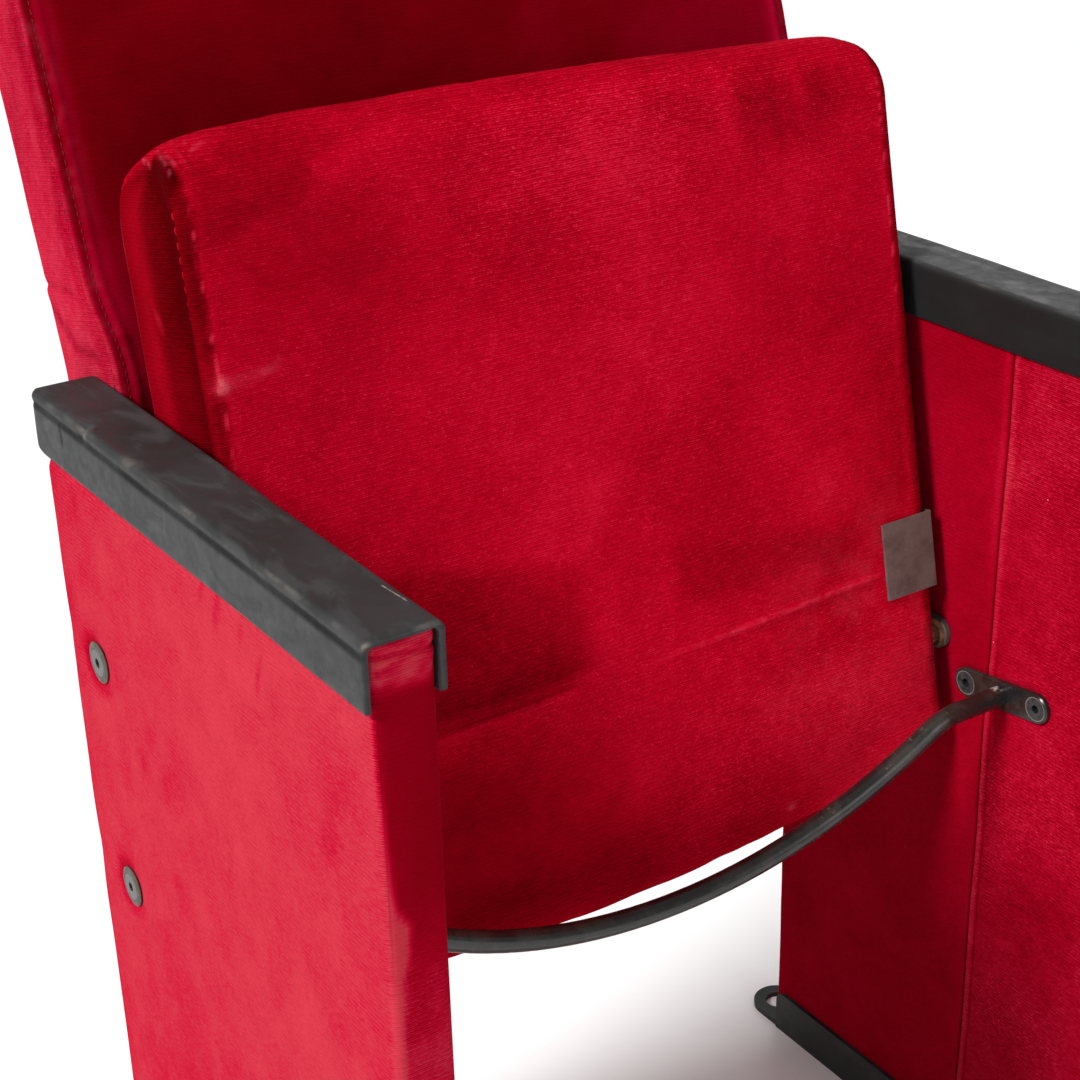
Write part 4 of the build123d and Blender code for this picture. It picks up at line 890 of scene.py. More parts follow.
    # painted highlights on the welt ridges and painted shade in the two seam grooves
    inner_nap_and_painted_light += 0.38 * np.exp(-((e + 2.9) / 2.4) ** 2) + 0.28 * bell(e, 4.2, 3.4) * step(z, 380, 540)
    inner_nap_and_painted_light -= 0.80 * bell(e, 0.1, 0.85) + 0.45 * bell(e, -6.2, 0.9) * (1 - step(z, 330, 480)) + 0.06 * (1 - step(z, 150, 330)) * step(e, 2, 10)
    nap_and_painted_light = np.where(outer > 0.5, outer_nap_and_painted_light, np.where(inner > 0.5, inner_nap_and_painted_light, 0.2))
    nap_and_painted_light = nap_and_painted_light * (1 - on_front) + front_nap_and_painted_light * on_front
    # painted highlight: a lighter rim down the right panel's front outer corner
    rim = bell(np.hypot(x - x1, y - y0), 0, 5) if s > 0 else 0
    nap_and_painted_light = nap_and_painted_light + rim
    attribute(ob, "nap_and_painted_light", np.clip(nap_and_painted_light, -1.2, 1.4))
    attribute(ob, "calm", np.where(outer > 0.5, 0.35, np.where(front > 0.5, 0.92 - 0.55 * low, np.where(inner > 0.5, 0.55 - 0.45 * ahead, 0.7))))
    attribute(ob, "grain", np.where(outer > 0.5, 0.75, np.where(front > 0.5, 0.10 + 0.75 * low + 0.4 * mouth, np.where(inner > 0.5, 0.40 + 0.95 * ahead * (0.75 + 0.5 * vnoise(q, 55, seed + 61)), 0.4))))
    attribute(ob, "worn", 0 * x)
    wear(ob, V_PANEL, "panel_velvet", "frame", "side_cover_" + side)
    return ob


side_cover("left", -1)
side_cover("right", 1)


# ---------------------------------------------------------------- armrest caps
def cap(side, s):
    ob = largest_shell(from_nodes("armrest_cap_" + side + "_skin", ["armrest_cap_" + side], 0.00135))
    relax(ob, 3, 0.5)
    seed = 5 if s < 0 else 8

    def shape(p, n):
        x, y, z = s * p[:, 0], p[:, 1], p[:, 2]
        nx = s * n[:, 0]
        top, outer, inner = step(n[:, 2], 0.5, 0.9), step(nx, 0.5, 0.9), step(-nx, 0.5, 0.9)
        skin = (x > 273.6) | (x < 237.6) | (z > 633.2) | (y > 356)
        d = 0.30 * vnoise(p, 85, seed) + 0.10 * vnoise(p, 22, seed + 1)
        dz = CAP_TOP - z
        run = 0.72 + 0.28 * vnoise(p, (99, 30, 99), seed + 2)
        out_face = step(nx, 0.35, 0.7) * (x > 273)
        line = 6.4 + 0.5 * vnoise(p, (99, 45, 99), seed + 3)
        d -= out_face * run * 0.85 * bell(dz, line, 1.1)
        d += out_face * 0.22 * bell(dz, line - 3.2, 1.8)
        # softened top edges with small knocks
        knock = np.clip(vnoise(p, (30, 9, 30), seed + 4) - 0.45, 0, 1)
        d -= 1.0 * knock * step(n[:, 2], 0.3, 0.7) * step(nx, 0.3, 0.7) * (x > 272)
        if s < 0:
            d -= 2.0 * np.exp(-((y - 288) / 3.6) ** 2 - ((z - 633.0) / 3.6) ** 2) * (x > 268)
            d += 0.7 * np.exp(-((y - 282.5) / 1.8) ** 2 - ((z - 634.0) / 3.0) ** 2) * (x > 268)
            d -= 0.9 * bell(y, 316.3 + 0.12 * (z - 622), 0.8) * step(z, 615.5, 618) * (1 - step(z, 627, 629)) * (x > 272)
        return d * skin

    displace(ob, shape)

    def rounded(p, n):
        # the lower front corners of both flanges
        r = 4.5
        dy, dz = np.minimum(p[:, 1] - r, 0), np.minimum(p[:, 2] - CAP_FLANGE - r, 0)
        far = np.maximum(np.hypot(dy, dz), 1e-6)
        share = np.where((dy < 0) & (dz < 0) & (far > r), r / far, 1.0)
        return np.stack([p[:, 0], p[:, 1] + dy * (share - 1), p[:, 2] + dz * (share - 1)], 1)

    displace(ob, rounded)
    p = millimetres(coords(ob.data))
    x, y, z = s * p[:, 0], p[:, 1], p[:, 2]
    n = normals(ob.data)
    corner = np.clip(step(n[:, 2], 0.25, 0.6) * (1 - step(n[:, 2], 0.8, 0.97)), 0, 1)
    w = 0.35 * corner * step(vnoise(p, (40, 14, 40), seed + 6), 0.1, 0.7)
    # the lighter spot at the front outer top corner is worn coating with a painted highlight
    w = np.maximum(w, 0.8 * np.exp(-((y - 0.8) / 2.0) ** 2 - ((z - 633) / 2.2) ** 2 - ((x - 273.4) / 2.4) ** 2))
    w = np.maximum(w, 0.35 * bell(y, 1.2, 1.1) * step(z, 631, 633.5) * step(vnoise(p, (7, 9, 9), seed + 8), -0.5, 0.5))
    w = np.maximum(w, 0.30 * (1 - step(y, 1.0, 3.0)) * step(vnoise(p, 9, seed + 7), 0.1, 0.6) * (z > 625))
    if s < 0:
        w = np.maximum(w, 0.8 * np.exp(-((y - 285) / 3.5) ** 2 - ((z - 632) / 4) ** 2) * (x > 270))
        w = np.maximum(w, 0.5 * np.exp(-((y - 232) / 8) ** 2 - ((x - 272) / 3) ** 2 - ((z - 634) / 3) ** 2))
    attribute(ob, "worn", w)
    nx, dz = s * n[:, 0], CAP_TOP - z
    run = np.clip(0.80 + 0.35 * vnoise(p, (99, 26, 99), seed + 2), 0, 1)
    # painted shade (the dark values): the groove line below the outer top edge and the slit are darkened in colour
    painted_shade = (x > 272.5) * step(nx, 0.1, 0.5) * run * step(dz, 3.8, 5.2) * (1 - step(dz, 8.0, 10.0))
    if s < 0:
        painted_shade = np.maximum(painted_shade, 0.9 * bell(y, 316.3 + 0.12 * (z - 622), 0.9) * step(z, 615.5, 618) * (1 - step(z, 627, 629)) * (x > 272))
    # painted shade on the face towards the seat, which lies in shadow
    painted_shade = np.maximum(painted_shade, 0.88 * step(-nx, 0.5, 0.85) * (x < 240))
    # painted shade on the cut ends and along the rounded outer front edge
    ends = step(-n[:, 1], 0.6, 0.9) * (y < 2)
    painted_shade = np.maximum(painted_shade, np.maximum(0.85 * (y < 2.5) * (x > 270) * np.exp(-((-n[:, 1] - 0.62) / 0.26) ** 2) * step(nx, 0.2, 0.5), ends * np.where(z > 631, 0.6, 0.22)) * step(dz, 1.0, 2.2))
    attribute(ob, "dark", np.clip(painted_shade, 0, 1))
    wear(ob, M_CAP, "cap_black", "frame", "armrest_cap_" + side)


cap("left", -1)
cap("right", 1)


# ---------------------------------------------------------------- cushions: closed forms on a grid
def round_max(a, b, r):
    """The larger of two distances, rounded over where they meet."""
    return np.maximum(a, b) + np.where(abs(a - b) < r, (r - abs(a - b)) ** 2 / (4 * r), 0)


def shaped_grid(xs, ys, zs, core, inside):
    """A box grid whose points are moved along rays from the core box onto the surface where inside(p) = 0."""
    v, f = box_grid(xs, ys, zs)
    c = np.clip(v, [k[0] for k in core], [k[1] for k in core])
    lo, hi = np.zeros(len(v)), np.full(len(v), 1.15)
    for _ in range(34):
        mid = (lo + hi) / 2
        val = inside(c + (v - c) * mid[:, None])
        lo, hi = np.where(val < 0, mid, lo), np.where(val < 0, hi, mid)
    return c + (v - c) * lo[:, None], v, f


def spread(coarse_lines, moved, fine):
    """Carries the moves of a coarse box grid's points over to the points of a finer one."""
    xs, ys, zs = coarse_lines
    n = (len(xs), len(ys), len(zs))
    on = np.zeros(n, bool)
    on[0] = on[-1] = True
    on[:, 0] = on[:, -1] = True
    on[:, :, 0] = on[:, :, -1] = True
    field = np.zeros(n + (3,))
    field[on] = moved

    def cell(lines, a):
        i = np.clip(np.searchsorted(lines, a, side="right") - 1, 0, len(lines) - 2)
        t = np.clip((a - lines[i]) / (lines[i + 1] - lines[i]), 0, 1)
        return i, t * t * (3 - 2 * t) * 0.5 + t * 0.5

    (i, a), (j, b), (k, c) = cell(xs, fine[:, 0]), cell(ys, fine[:, 1]), cell(zs, fine[:, 2])
    # a point on a face has a whole index there, so only that face's points take part
    a, b, c = a[:, None], b[:, None], c[:, None]
    out = 0
    for di in (0, 1):
        for dj in (0, 1):
            for dk in (0, 1):
                w = (a if di else 1 - a) * (b if dj else 1 - b) * (c if dk else 1 - c)
                out = out + w * field[i + di, j + dj, k + dk]
    return out


# ---------------------------------------------------------------- tipping seat
def seat_edge(u, v):
    """How far inside the seat's side outline a point is."""
    e = np.minimum(np.minimum(v - SEAT_UNDER, SEAT_SIT - v), SEAT_FRONT - u)
    a = (u > SEAT_FRONT - 38) & (v < SEAT_UNDER + 38)
    e = np.where(a, 38 - np.hypot(u - (SEAT_FRONT - 38), v - (SEAT_UNDER + 38)), e)
    b = (u > SEAT_FRONT - 45) & (v > SEAT_SIT - 45)
    return np.where(b, 45 - np.hypot(u - (SEAT_FRONT - 45), v - (SEAT_SIT - 45)), e)


def seat_low(x):
    r = (228.0 ** 2 + 20.0 ** 2) / 40.0
    return -89.0 + r - np.sqrt(r * r - np.clip(x, -228, 228) ** 2)


def seat_form(p):
    x, u, v = p[:, 0], p[:, 1], p[:, 2]
    ax = abs(x)
    crown = 1.0 - 5.5 * (ax / 228) ** 6
    sit = v - (SEAT_SIT + crown)
    under = SEAT_UNDER - v
    top = u - (SEAT_FRONT - 4 * (x / 228) ** 2)
    low = seat_low(x) - u
    side = ax - SEAT_HALF
    roll_u = np.hypot(np.maximum(top + 38, 0), np.maximum(under + 38, 0)) - 38
    roll_s = np.hypot(np.maximum(top + 45, 0), np.maximum(sit + 45, 0)) - 45
    tail = np.hypot(np.maximum(low + 16, 0), np.maximum(sit + 16, 0)) - 16
    outline = np.maximum(np.maximum(roll_u, roll_s), tail)
    outline = round_max(outline, low, 5)
    plan = np.hypot(np.maximum(top + 24, 0), np.maximum(side + 24, 0)) - 24
    plan2 = np.hypot(np.maximum(low + 14, 0), np.maximum(side + 14, 0)) - 14
    sides = np.maximum(np.maximum(plan, plan2), side)
    soft = 9 + 5 * step(v, 10, 60)
    return round_max(outline, sides, soft)


# broad lighter and darker places of the underside: x, u, their radii, how much; the darker places at the lower left and
# the bottom are painted shade
SEAT_TONES = ((-190, 338, 40, 36, -0.22), (-152, 322, 40, 24, -0.06), (-98, 326, 42, 30, 0.12), (4, 340, 76, 34, 0.48), (165, 334, 44, 46, -0.14), (184, 346, 19, 13, -0.22), (124, 346, 10, 18, -0.10),
              (172, 200, 60, 62, -0.12), (-124, 160, 62, 36, -0.24), (-22, 92, 76, 32, -0.10), (92, 108, 58, 42, -0.06), (-95, -4, 62, 30, -0.26),
              (8, -16, 46, 26, 0.26), (130, 4, 50, 42, 0.10), (-100, -60, 62, 15, -0.22), (-52, 150, 40, 22, 0.10), (60, 250, 60, 40, 0.08))
SEAT_CORE = ((-204, 204), (-50, 333), (26, 28))


def seat_cushion():
    fine = (lines((-228, -206, 1.1), (-206, -190, 1.8), (-190, 196, 3.8), (196, 228, 1.6)),
            lines((-89, -60, 2.2), (-60, 34, 4.0), (34, 62, 1.2), (62, 318, 3.6), (318, 350, 2.0), (350, 378, 1.2)),
            lines((-12, 24, 1.2), (24, 60, 2.4), (60, 73, 2.0)))
    p, box, faces = shaped_grid(*fine, SEAT_CORE, seat_form)
    coarse = (lines((-228, 228, 6.2)), lines((-89, 378, 6.2)), lines((-12, 73, 6.1)))
    q, qbox, qf = shaped_grid(*coarse, SEAT_CORE, seat_form)
    u, v = q[:, 1], q[:, 2]
    ax = abs(q[:, 0])
    e = seat_edge(u, v)
    seam = (ax > SEAT_HALF - 4) & (e < 14) & (v < 60)
    tacked = (v < SEAT_UNDER + 2) & ((ax > 176) & (abs(u - 50) < 40) | (ax > 218))
    held = np.where(seam | tacked, 1.0, np.where(v < SEAT_UNDER + 2, 0.6, 0.0))
    sheet = new_object("seat_cloth", metres(seat_point(q[:, 0], q[:, 1], q[:, 2])), qf[:, ::-1])
    near_back = step(u, 200, 260) * (1 - step(u, 330, 350))
    limit = np.where(v > SEAT_SIT - 14, 7.0 - 4.8 * near_back, 3.0)
    limit = np.where(v < SEAT_UNDER + 3, 2.6, limit)
    limit = np.where(ax > SEAT_HALF - 3, 2.6, limit)
    limit = np.where((u < -40) & (v > 30), 4.0, limit)
    puff(sheet, held, 4.0, limit)
    m = millimetres(coords(sheet.data))
    mu, mv = seat_uv(m)
    move = np.stack([m[:, 0], mu, mv], 1) - q
    bpy.data.objects.remove(sheet)
    p = p + spread(coarse, move, box)
    ob = new_object("seat_cushion", metres(seat_point(p[:, 0], p[:, 1], p[:, 2])), faces[:, ::-1])
    me = ob.data
    n = normals(me)
    x, u, v = p[:, 0], p[:, 1], p[:, 2]
    ax = abs(x)
    nv, nu, nx = n[:, 1] * CO - n[:, 2] * SI, n[:, 1] * SI + n[:, 2] * CO, n[:, 0]
    under, sitting, sides = step(-nv, 0.55, 0.9), step(nv, 0.4, 0.9), step(abs(nx), 0.5, 0.85)
    left, right = sides * (x < 0), sides * (x > 0)
    e = seat_edge(u, v)
    d = 0.60 * fbm(p, (150, 200, 110), 71) + 0.22 * vnoise(p, (30, 48, 26), 72)
    # underside: a crease from the left and a long ridge towards the right pad
    c1 = 50.5 + 2.5 * np.sin(x / 70.0)
    on1 = step(x, -150, -112) * (1 - step(x, -52, -26))
    d += under * on1 * (-0.55 * bell(u, c1, 1.5) + 0.75 * bell(u, c1 - 3.4, 2.4) - 0.5 * bell(u, c1 + 8, 8))
    c2 = 49.5 + 0.035 * (x - 60)
    on2 = step(x, -10, 100) * (1 - step(x, 176, 190))
    d += under * on2 * (0.85 * bell(u, c2, 2.6) - 0.35 * bell(u, c2 - 6, 4.0))
    for cx, cu, cr, depth in ((-25, -60, 15, 1.5), (-98, -50, 13, 1.1), (35, -58, 16, 1.2), (-72, 16, 20, 0.8), (120, 8, 26, 0.9), (60, 322, 16, 0.9),
                              (-150, 322, 13, 1.1), (-128, 300, 16, 0.8), (150, 262, 30, 0.6), (-60, 330, 20, 0.8), (10, 345, 14, 0.8), (-190, 236, 14, 0.6)):
        d -= under * depth * np.exp(-((x - cx) / cr) ** 2 - ((u - cu) / (cr * 0.8)) ** 2)
    # a knot of hardened pile at the left edge, with ridges running from it
    d += under * 1.1 * np.exp(-((x + 218) / 4.5) ** 2 - ((u - 261) / 4) ** 2)
    for pts, w, h in (([(-217, 262), (-196.7, 262.6), (-185, 266.4)], 1.8, 0.7), ([(-219, 256), (-218, 228), (-214, 200)], 2.6, 0.4), ([(-224, 250), (-223, 215), (-222, 175)], 2.2, 0.4)):
        near, t = near_line(x, u, pts, w)
        d += under * h * near * (1 - t) ** 0.7
    # the boxed sides draw in to a seam that follows the outline
    seam = np.where(u < 340, 12 - 0.052 * (np.clip(u, 225, 340) - 225), 6.0)
    low_end = step(u, -80, -50)
    fade = np.where(v > 40, 1 - step(v, 40, 56), 1.0) * low_end
    deep = np.where(x < 0, 4.4, 3.2)
    d -= sides * fade * deep * np.exp(-((e - 15) / 11.0) ** 2)
    d -= sides * fade * 1.1 * bell(e, seam, 1.5)
    d += sides * fade * 0.5 * bell(e, seam - 4.0, 2.2)
    d -= sides * 0.8 * np.exp(-((u - 290) / 10) ** 2 - ((v - 24 - 0.3 * (u - 290)) / 2.4) ** 2)
    d += sides * 0.6 * np.exp(-((u - 296) / 10) ** 2 - ((v - 28 - 0.3 * (u - 290)) / 2.6) ** 2)
    # fine bunched ridges where the side meets the rolled front corner
    bunches = (([(-216.2, 370.6, 21), (-219.2, 368, 9), (-220.1, 364.9, 2.1), (-221, 360.3, -2.8)], 1.5, 1.2),
               ([(-216.8, 369.5, 11.4), (-216.8, 367.7, 5.3), (-216.0, 362.0, -1.0)], 1.3, 0.9), ([(-219.7, 367.8, 33), (-221.6, 366.3, 23.4)], 1.4, 0.8),
               ([(-211, 372.5, 14), (-212, 368.6, 4), (-211, 361, -5)], 1.3, 0.6))
    for pts, w, h in bunches:
        for s in (1, -1):
            at = np.stack([s * x, u, v], 1)
            near, t = near_line3(at, pts, w)
            d += (h if s > 0 else 0.6 * h) * near
            near, t = near_line3(at - [2.6, 0, 0], pts, w)
            d -= (0.7 * h if s > 0 else 0.4 * h) * near
    corner = np.exp(-((ax - 222) / 20) ** 2) * step(u, 318, 345) * (v < 45)
    d += corner * 0.25 * vnoise(p, (12, 12, 12), 75)
    d += step(nu, 0.35, 0.8) * 0.8 * vnoise(p, (42, 40, 40), 77)
    # uneven lower edge, and a slightly higher left end of the top edge
    along = np.stack([x, 0 * x, 0 * x], 1)
    du = (1 - step(u, -76, -40)) * (1.0 * vnoise(along, (34, 9, 9), 81) + 0.35 * vnoise(along, (12, 9, 9), 82))
    du += step(u, 330, 372) * 4.5 * bell(x, -205, 42) - step(u, 330, 372) * 1.5 * bell(x, 0, 60)
    du += step(u, 300, 366) * np.interp(x, [-228, -216, -190, -150, -110, -60, 0, 60, 120, 180, 228], [0, 2.0, 5.5, 9.5, 9.7, 8.7, 7.6, 6.2, 4.8, 3.4, 1.6])
    near, t = near_line3(p, [(70, 375, 20), (74, 374, 13), (82, 370, 4)], 2.0)
    d -= 0.8 * near
    q = p + np.stack([nx, nu, nv], 1) * d[:, None]
    q[:, 1] += du
    set_coords(me, metres(seat_point(q[:, 0], q[:, 1], q[:, 2])))
    # how the pile lies, with painted shade and painted highlights on it where noted
    nap_and_painted_light = 0.28 + 0.24 * fbm(p, (90, 90, 60), 91)
    on = under
    nap_and_painted_light += on * (0.16 * np.exp(-((x + 10) / 140) ** 2 - ((u - 190) / 100) ** 2) + 0.10 * step(x, 60, 200) * step(u, 60, 300))
    # painted shade: darker towards the lower left and the bottom of the underside, where the left panel's shadow falls
    nap_and_painted_light -= on * (0.36 * np.exp(-((x + 150) / 110) ** 2 - ((u + 10) / 95) ** 2) + 0.35 * np.exp(-((x + 20) / 90) ** 2 - ((u + 66) / 40) ** 2))
    nap_and_painted_light -= on * (0.12 * np.exp(-((x + 120) / 90) ** 2 - ((u - 318) / 30) ** 2) + 0.25 * np.exp(-((x - 40) / 130) ** 2 - ((u - 350) / 14) ** 2))
    nap_and_painted_light += on * 0.25 * np.exp(-((x - 190) / 34) ** 2 - ((u - 10) / 60) ** 2)
    # painted highlights along the left crease's lower lip and on the long ridge, painted shade in the left crease,
    # above it and below the ridge
    nap_and_painted_light += on * on1 * (0.28 * bell(u, c1 - 2.2, 1.6) - 0.25 * bell(u, c1 + 0.4, 1.4) - 0.35 * step(u, c1 - 1, c1 + 1) * (1 - step(u, c1 + 3, c1 + 34)))
    nap_and_painted_light += on * on2 * (0.58 * bell(u, c2, 2.0) * (0.7 + 0.6 * vnoise(p, (14, 6, 9), 94)) - 0.12 * bell(u, c2 - 7, 4))
    for cx, cu, rx, ru, k in SEAT_TONES:
        nap_and_painted_light += on * k * np.exp(-((x - cx) / rx) ** 2 - ((u - cu) / ru) ** 2)
    # the top left corner's dark place has a sharp lower edge, with a light patch just outside it
    lip = np.interp(x, [-212, -195, -175, -161, -153, -150, -140, -124, -117, -100, -73], [326, 331, 334, 336, 343, 351, 354, 360, 363, 367, 371]) + 1.6 * vnoise(p, (7, 7, 9), 107)
    nap_and_painted_light -= under * 0.20 * step(u, lip - 3, lip + 3) * (1 - step(x, -110, -70)) * (v < 8)
    nap_and_painted_light += on * 0.26 * np.exp(-((u - lip + 8) / 8) ** 2 - ((x + 136) / 17) ** 2) * (0.8 + 0.5 * vnoise(p, (9, 4, 9), 108))
    edge = bell(ax, 216, 3.2) * (v < 2)
    nap_and_painted_light += edge * 0.30 * (0.4 + 0.6 * vnoise(p, (5, 6, 5), 95))
    # on the boxed sides: painted shade in the valley beside the seam, a painted highlight along the rim towards the
    # sitting side and a small painted highlight on the dent
    side_nap_and_painted_light = np.where(x < 0, -0.68, -0.5) + 0.48 * step(v, 19, 36) - 0.20 * np.exp(-((e - 14) / 7) ** 2) + 0.18 * fbm(p, (40, 70, 30), 96)
    side_nap_and_painted_light += 0.24 * (1 - step(v, -9.0, -5.6)) + 0.5 * bell(v, 68, 6) + 0.35 * np.exp(-((u - 294) / 7) ** 2 - ((v - 28 - 0.3 * (u - 294)) / 2.2) ** 2) + (x < 0) * (0.06 - 0.22 * step(u, 262, 305))
    # the dark lie of the boxing reaches a little way round onto the underside
    round_it = np.maximum(sides, step(ax + 1.1 * vnoise(p, (9, 5, 9), 103), 215.2, 222.0) * (v < 20) * step(u, -60, -20))
    nap_and_painted_light = nap_and_painted_light * (1 - round_it) + side_nap_and_painted_light * round_it
    nap_and_painted_light -= step(nu, 0.40, 0.85) * (0.26 - 0.10 * step(x, 60, 200)) * (0.8 + 0.5 * vnoise(p, (26, 9, 9), 105))
    # places that hands and the bar have brushed against the lie of the rest
    nap_and_painted_light -= on * 0.36 * (1 - step(x, -36, -18)) * step(u, 52, 60) * (1 - step(u + 0.2 * x, 106, 122)) * step(x, -215, -150)
    nap_and_painted_light -= on * 0.27 * step(x, 26, 44) * (1 - step(x, 150, 180)) * step(u, 66, 80) * (1 - step(u + 0.19 * x, 112, 128))
    nap_and_painted_light += on * 0.13 * step(x + 0.6 * u, 62, 92) * (1 - step(u, -6, 26))
    nap_and_painted_light -= on * 0.15 * step(x, 113, 119) * (1 - step(x, 176, 190)) * step(u, 306, 326)
    nap_and_painted_light += on * 0.24 * (bell(x, 160, 4.5) * step(u, 322, 344) + bell(x, 107, 6) * step(u, 322, 344)) - on * 0.15 * bell(x, 141, 4) * step(u, 296, 326)
    spot = np.exp(-((x + 218) / 4.2) ** 2 - ((u - 261.5) / 3.6) ** 2) * (v < 4)
    nap_and_painted_light += 0.9 * spot
    folds = 0 * x
    for pts, w, h in bunches:
        near, t = near_line3(np.stack([x, u, v], 1), pts, 1.1)
        folds = np.maximum(folds, near * min(1.0, h))
    rub = np.exp(-((x + 205) / 9) ** 2 - ((u - 369) / 6) ** 2 - ((v - 8) / 9) ** 2) * step(vnoise(p, (4, 3, 4), 99), 0.0, 0.6)
    dots = bell(ax, 218.6, 1.2) * (v < 10) * step(u, 216, 226) * (1 - step(u, 340, 350)) * step(vnoise(p, (2.2, 2.8, 2.2), 97), -0.05, 0.35)
    nap_and_painted_light += 0.9 * dots
    # on the left side a painted highlight along the bend towards the sitting side; below, the knot, rubbing, stitch
    # dots and lint are pale pile, while the bunched folds, the dent on the side and the long ridge get painted
    # highlights
    bend = sides * (x < 0) * bell(v, 60.2, 1.5) * step(u, 60, 90) * (0.6 + 0.4 * vnoise(p, (9, 12, 9), 104))
    pale_pile_and_highlight = 0.60 * spot + 0.65 * bend + 0.55 * folds * step(vnoise(p, 3, 98), -0.5, 0.1) + 0.40 * rub + 0.30 * dots
    pale_pile_and_highlight += 0.14 * sides * np.exp(-((u - 294) / 5) ** 2 - ((v - 28 - 0.3 * (u - 294)) / 1.6) ** 2) + 0.34 * on * on2 * bell(u, c2, 1.4) * step(vnoise(p, (5, 3, 5), 100), -0.5, 0.2)
    pale_pile_and_highlight += 0.30 * on * near_line(x, u, [(-217, 262), (-196.7, 262.6), (-185, 266.4)], 1.7)[0]
    pale_pile_and_highlight += 0.16 * on * step(x, 60, 200) * np.exp(-((u - 45) / 60) ** 2) * step(vnoise(p, (12, 9, 12), 102), -0.4, 0.6)
    pale_pile_and_highlight += 0.55 * near_line3(p, [(70, 375, 20), (74, 374, 13), (82, 370, 4)], 1.2)[0] * step(vnoise(p, (3, 3, 3), 106), -0.6, 0.2)
    pale_pile_and_highlight += 0.05 * on * step(x + 0.6 * u, 62, 92) * (1 - step(u, -6, 26))
    pale_pile_and_highlight += 0.9 * np.exp(-((x - 100) / 2.2) ** 2 - ((u + 71) / 2.0) ** 2) * on
    attribute(ob, "nap_and_painted_light", np.clip(nap_and_painted_light, -1.2, 1.4))
    attribute(ob, "pale_pile_and_highlight", np.clip(pale_pile_and_highlight, 0, 1))
    attribute(ob, "worn", np.clip(0.3 * spot * (spot > 0.5), 0, 1))
    attribute(ob, "calm", 0.35 + 0.25 * sides)
    grain = 0.95 + 0.25 * vnoise(p, 70, 201) - 0.30 * on * np.exp(-((x + 170) / 60) ** 2 - ((u - 270) / 80) ** 2)
    grain += on * (0.75 * np.exp(-((x - 20) / 110) ** 2 - ((u - 345) / 50) ** 2) + 0.6 * np.exp(-((x - 150) / 80) ** 2 - ((u + 10) / 60) ** 2))
    grain -= on * 0.62 * np.exp(-((x + 130) / 120) ** 2 - ((u + 20) / 80) ** 2)
    attribute(ob, "grain", np.clip(grain * (1 - 0.55 * sides), 0.05, 1.8))
    wear(ob, V_SEAT, "seat_velvet", "seat", "seat_top_cover", "seat_under_cover", "seat_foam")
    # stitching along both boxed sides
    tree = surface_of(ob)
    runs = []
    for s in (-1, 1):
        line = [(a, SEAT_UNDER + 12 - 0.052 * (max(a, 225) - 225)) for a in np.linspace(-40, SEAT_FRONT - 38, 160)]
        line += [(SEAT_FRONT - 38 + 32 * math.sin(t), SEAT_UNDER + 38 - 32 * math.cos(t)) for t in np.linspace(0.05, 0.45, 6)]
        line = np.array(line)
        starts = seat_point(np.full(len(line), s * 262.0), line[:, 0], line[:, 1])
        pts, nr = on_surface(tree, starts, (-s, 0, 0))
        runs.append((pts, nr, 4.6, 2.6))
    th = stitches("seat_stitching", runs, 0.66, 0.05)
    wear(th, M_THREAD_PAINTED_HIGHLIGHT, "seat_velvet", "seat")
    return ob


seat_cushion()


# ---------------------------------------------------------------- backrest
TB, TW = math.tan(math.radians(18.3)), math.tan(math.radians(4.0))


def back_front_y(z):
    z = np.asarray(z, float)
    a = np.array(((440, 334), (470, 332.9), (500, 331.2), (530, 328.6), (560, 326.1), (587, 325.0), (615, 325.9), (638, 328.2), (660, 332)), float)
    low = np.interp(z, a[:, 0], a[:, 1])
    return np.where(z < 660, low, 332 + TB * (z - 660))


def back_rear_y(z):
    z = np.asarray(z, float)
    up, low = 436.6 + TB * (z - 767.7), 372.0 + TW * (z - 440)
    return np.maximum(up, low) + np.where(abs(up - low) < 10, (10 - abs(up - low)) ** 2 / 40, 0)


def back_half(y, z):
    return 242 - 7 * (1 - step(z, 636, 694)) * (1 - step(y, 355, 368))


def back_metric(p):
    """Depths below the front, the rear, the sides and the ends, for points (x, share of the thickness times 60, z)."""
    x, t, z = p[:, 0], p[:, 1] / 60.0, p[:, 2]
    yf, yr = back_front_y(z), back_rear_y(z)
    y = yf + t * (yr - yf)
    c = 0.95 + 0.05 * (1 - step(z, 620, 680))
    return y, (yf - y) * c, (y - yr) * c, abs(x) - back_half(y, z), z - 897, 440 - z


def back_form(p):
    y, front, rear, side, top, low = back_metric(p)
    crown = -0.8 + 4.0 * (abs(p[:, 0]) / 242) ** 6
    front = front + crown
    a = np.hypot(np.maximum(top + 24, 0), np.maximum(front + 24, 0)) - 24
    b = np.hypot(np.maximum(top + 10, 0), np.maximum(rear + 10, 0)) - 10
    outline = np.maximum(np.maximum(a, b), np.maximum(low, -1e9))
    outline = round_max(outline, low, 4)
    sides = np.hypot(np.maximum(top + 26, 0), np.maximum(side + 26, 0)) - 26
    return round_max(outline, np.maximum(sides, side), 4.5)


def back_place(p):
    z = p[:, 2]
    yf, yr = back_front_y(z), back_rear_y(z)
    return np.stack([p[:, 0], yf + p[:, 1] / 60.0 * (yr - yf), z], 1)


BACK_CORE = ((-212, 212), (26, 34), (462, 868))


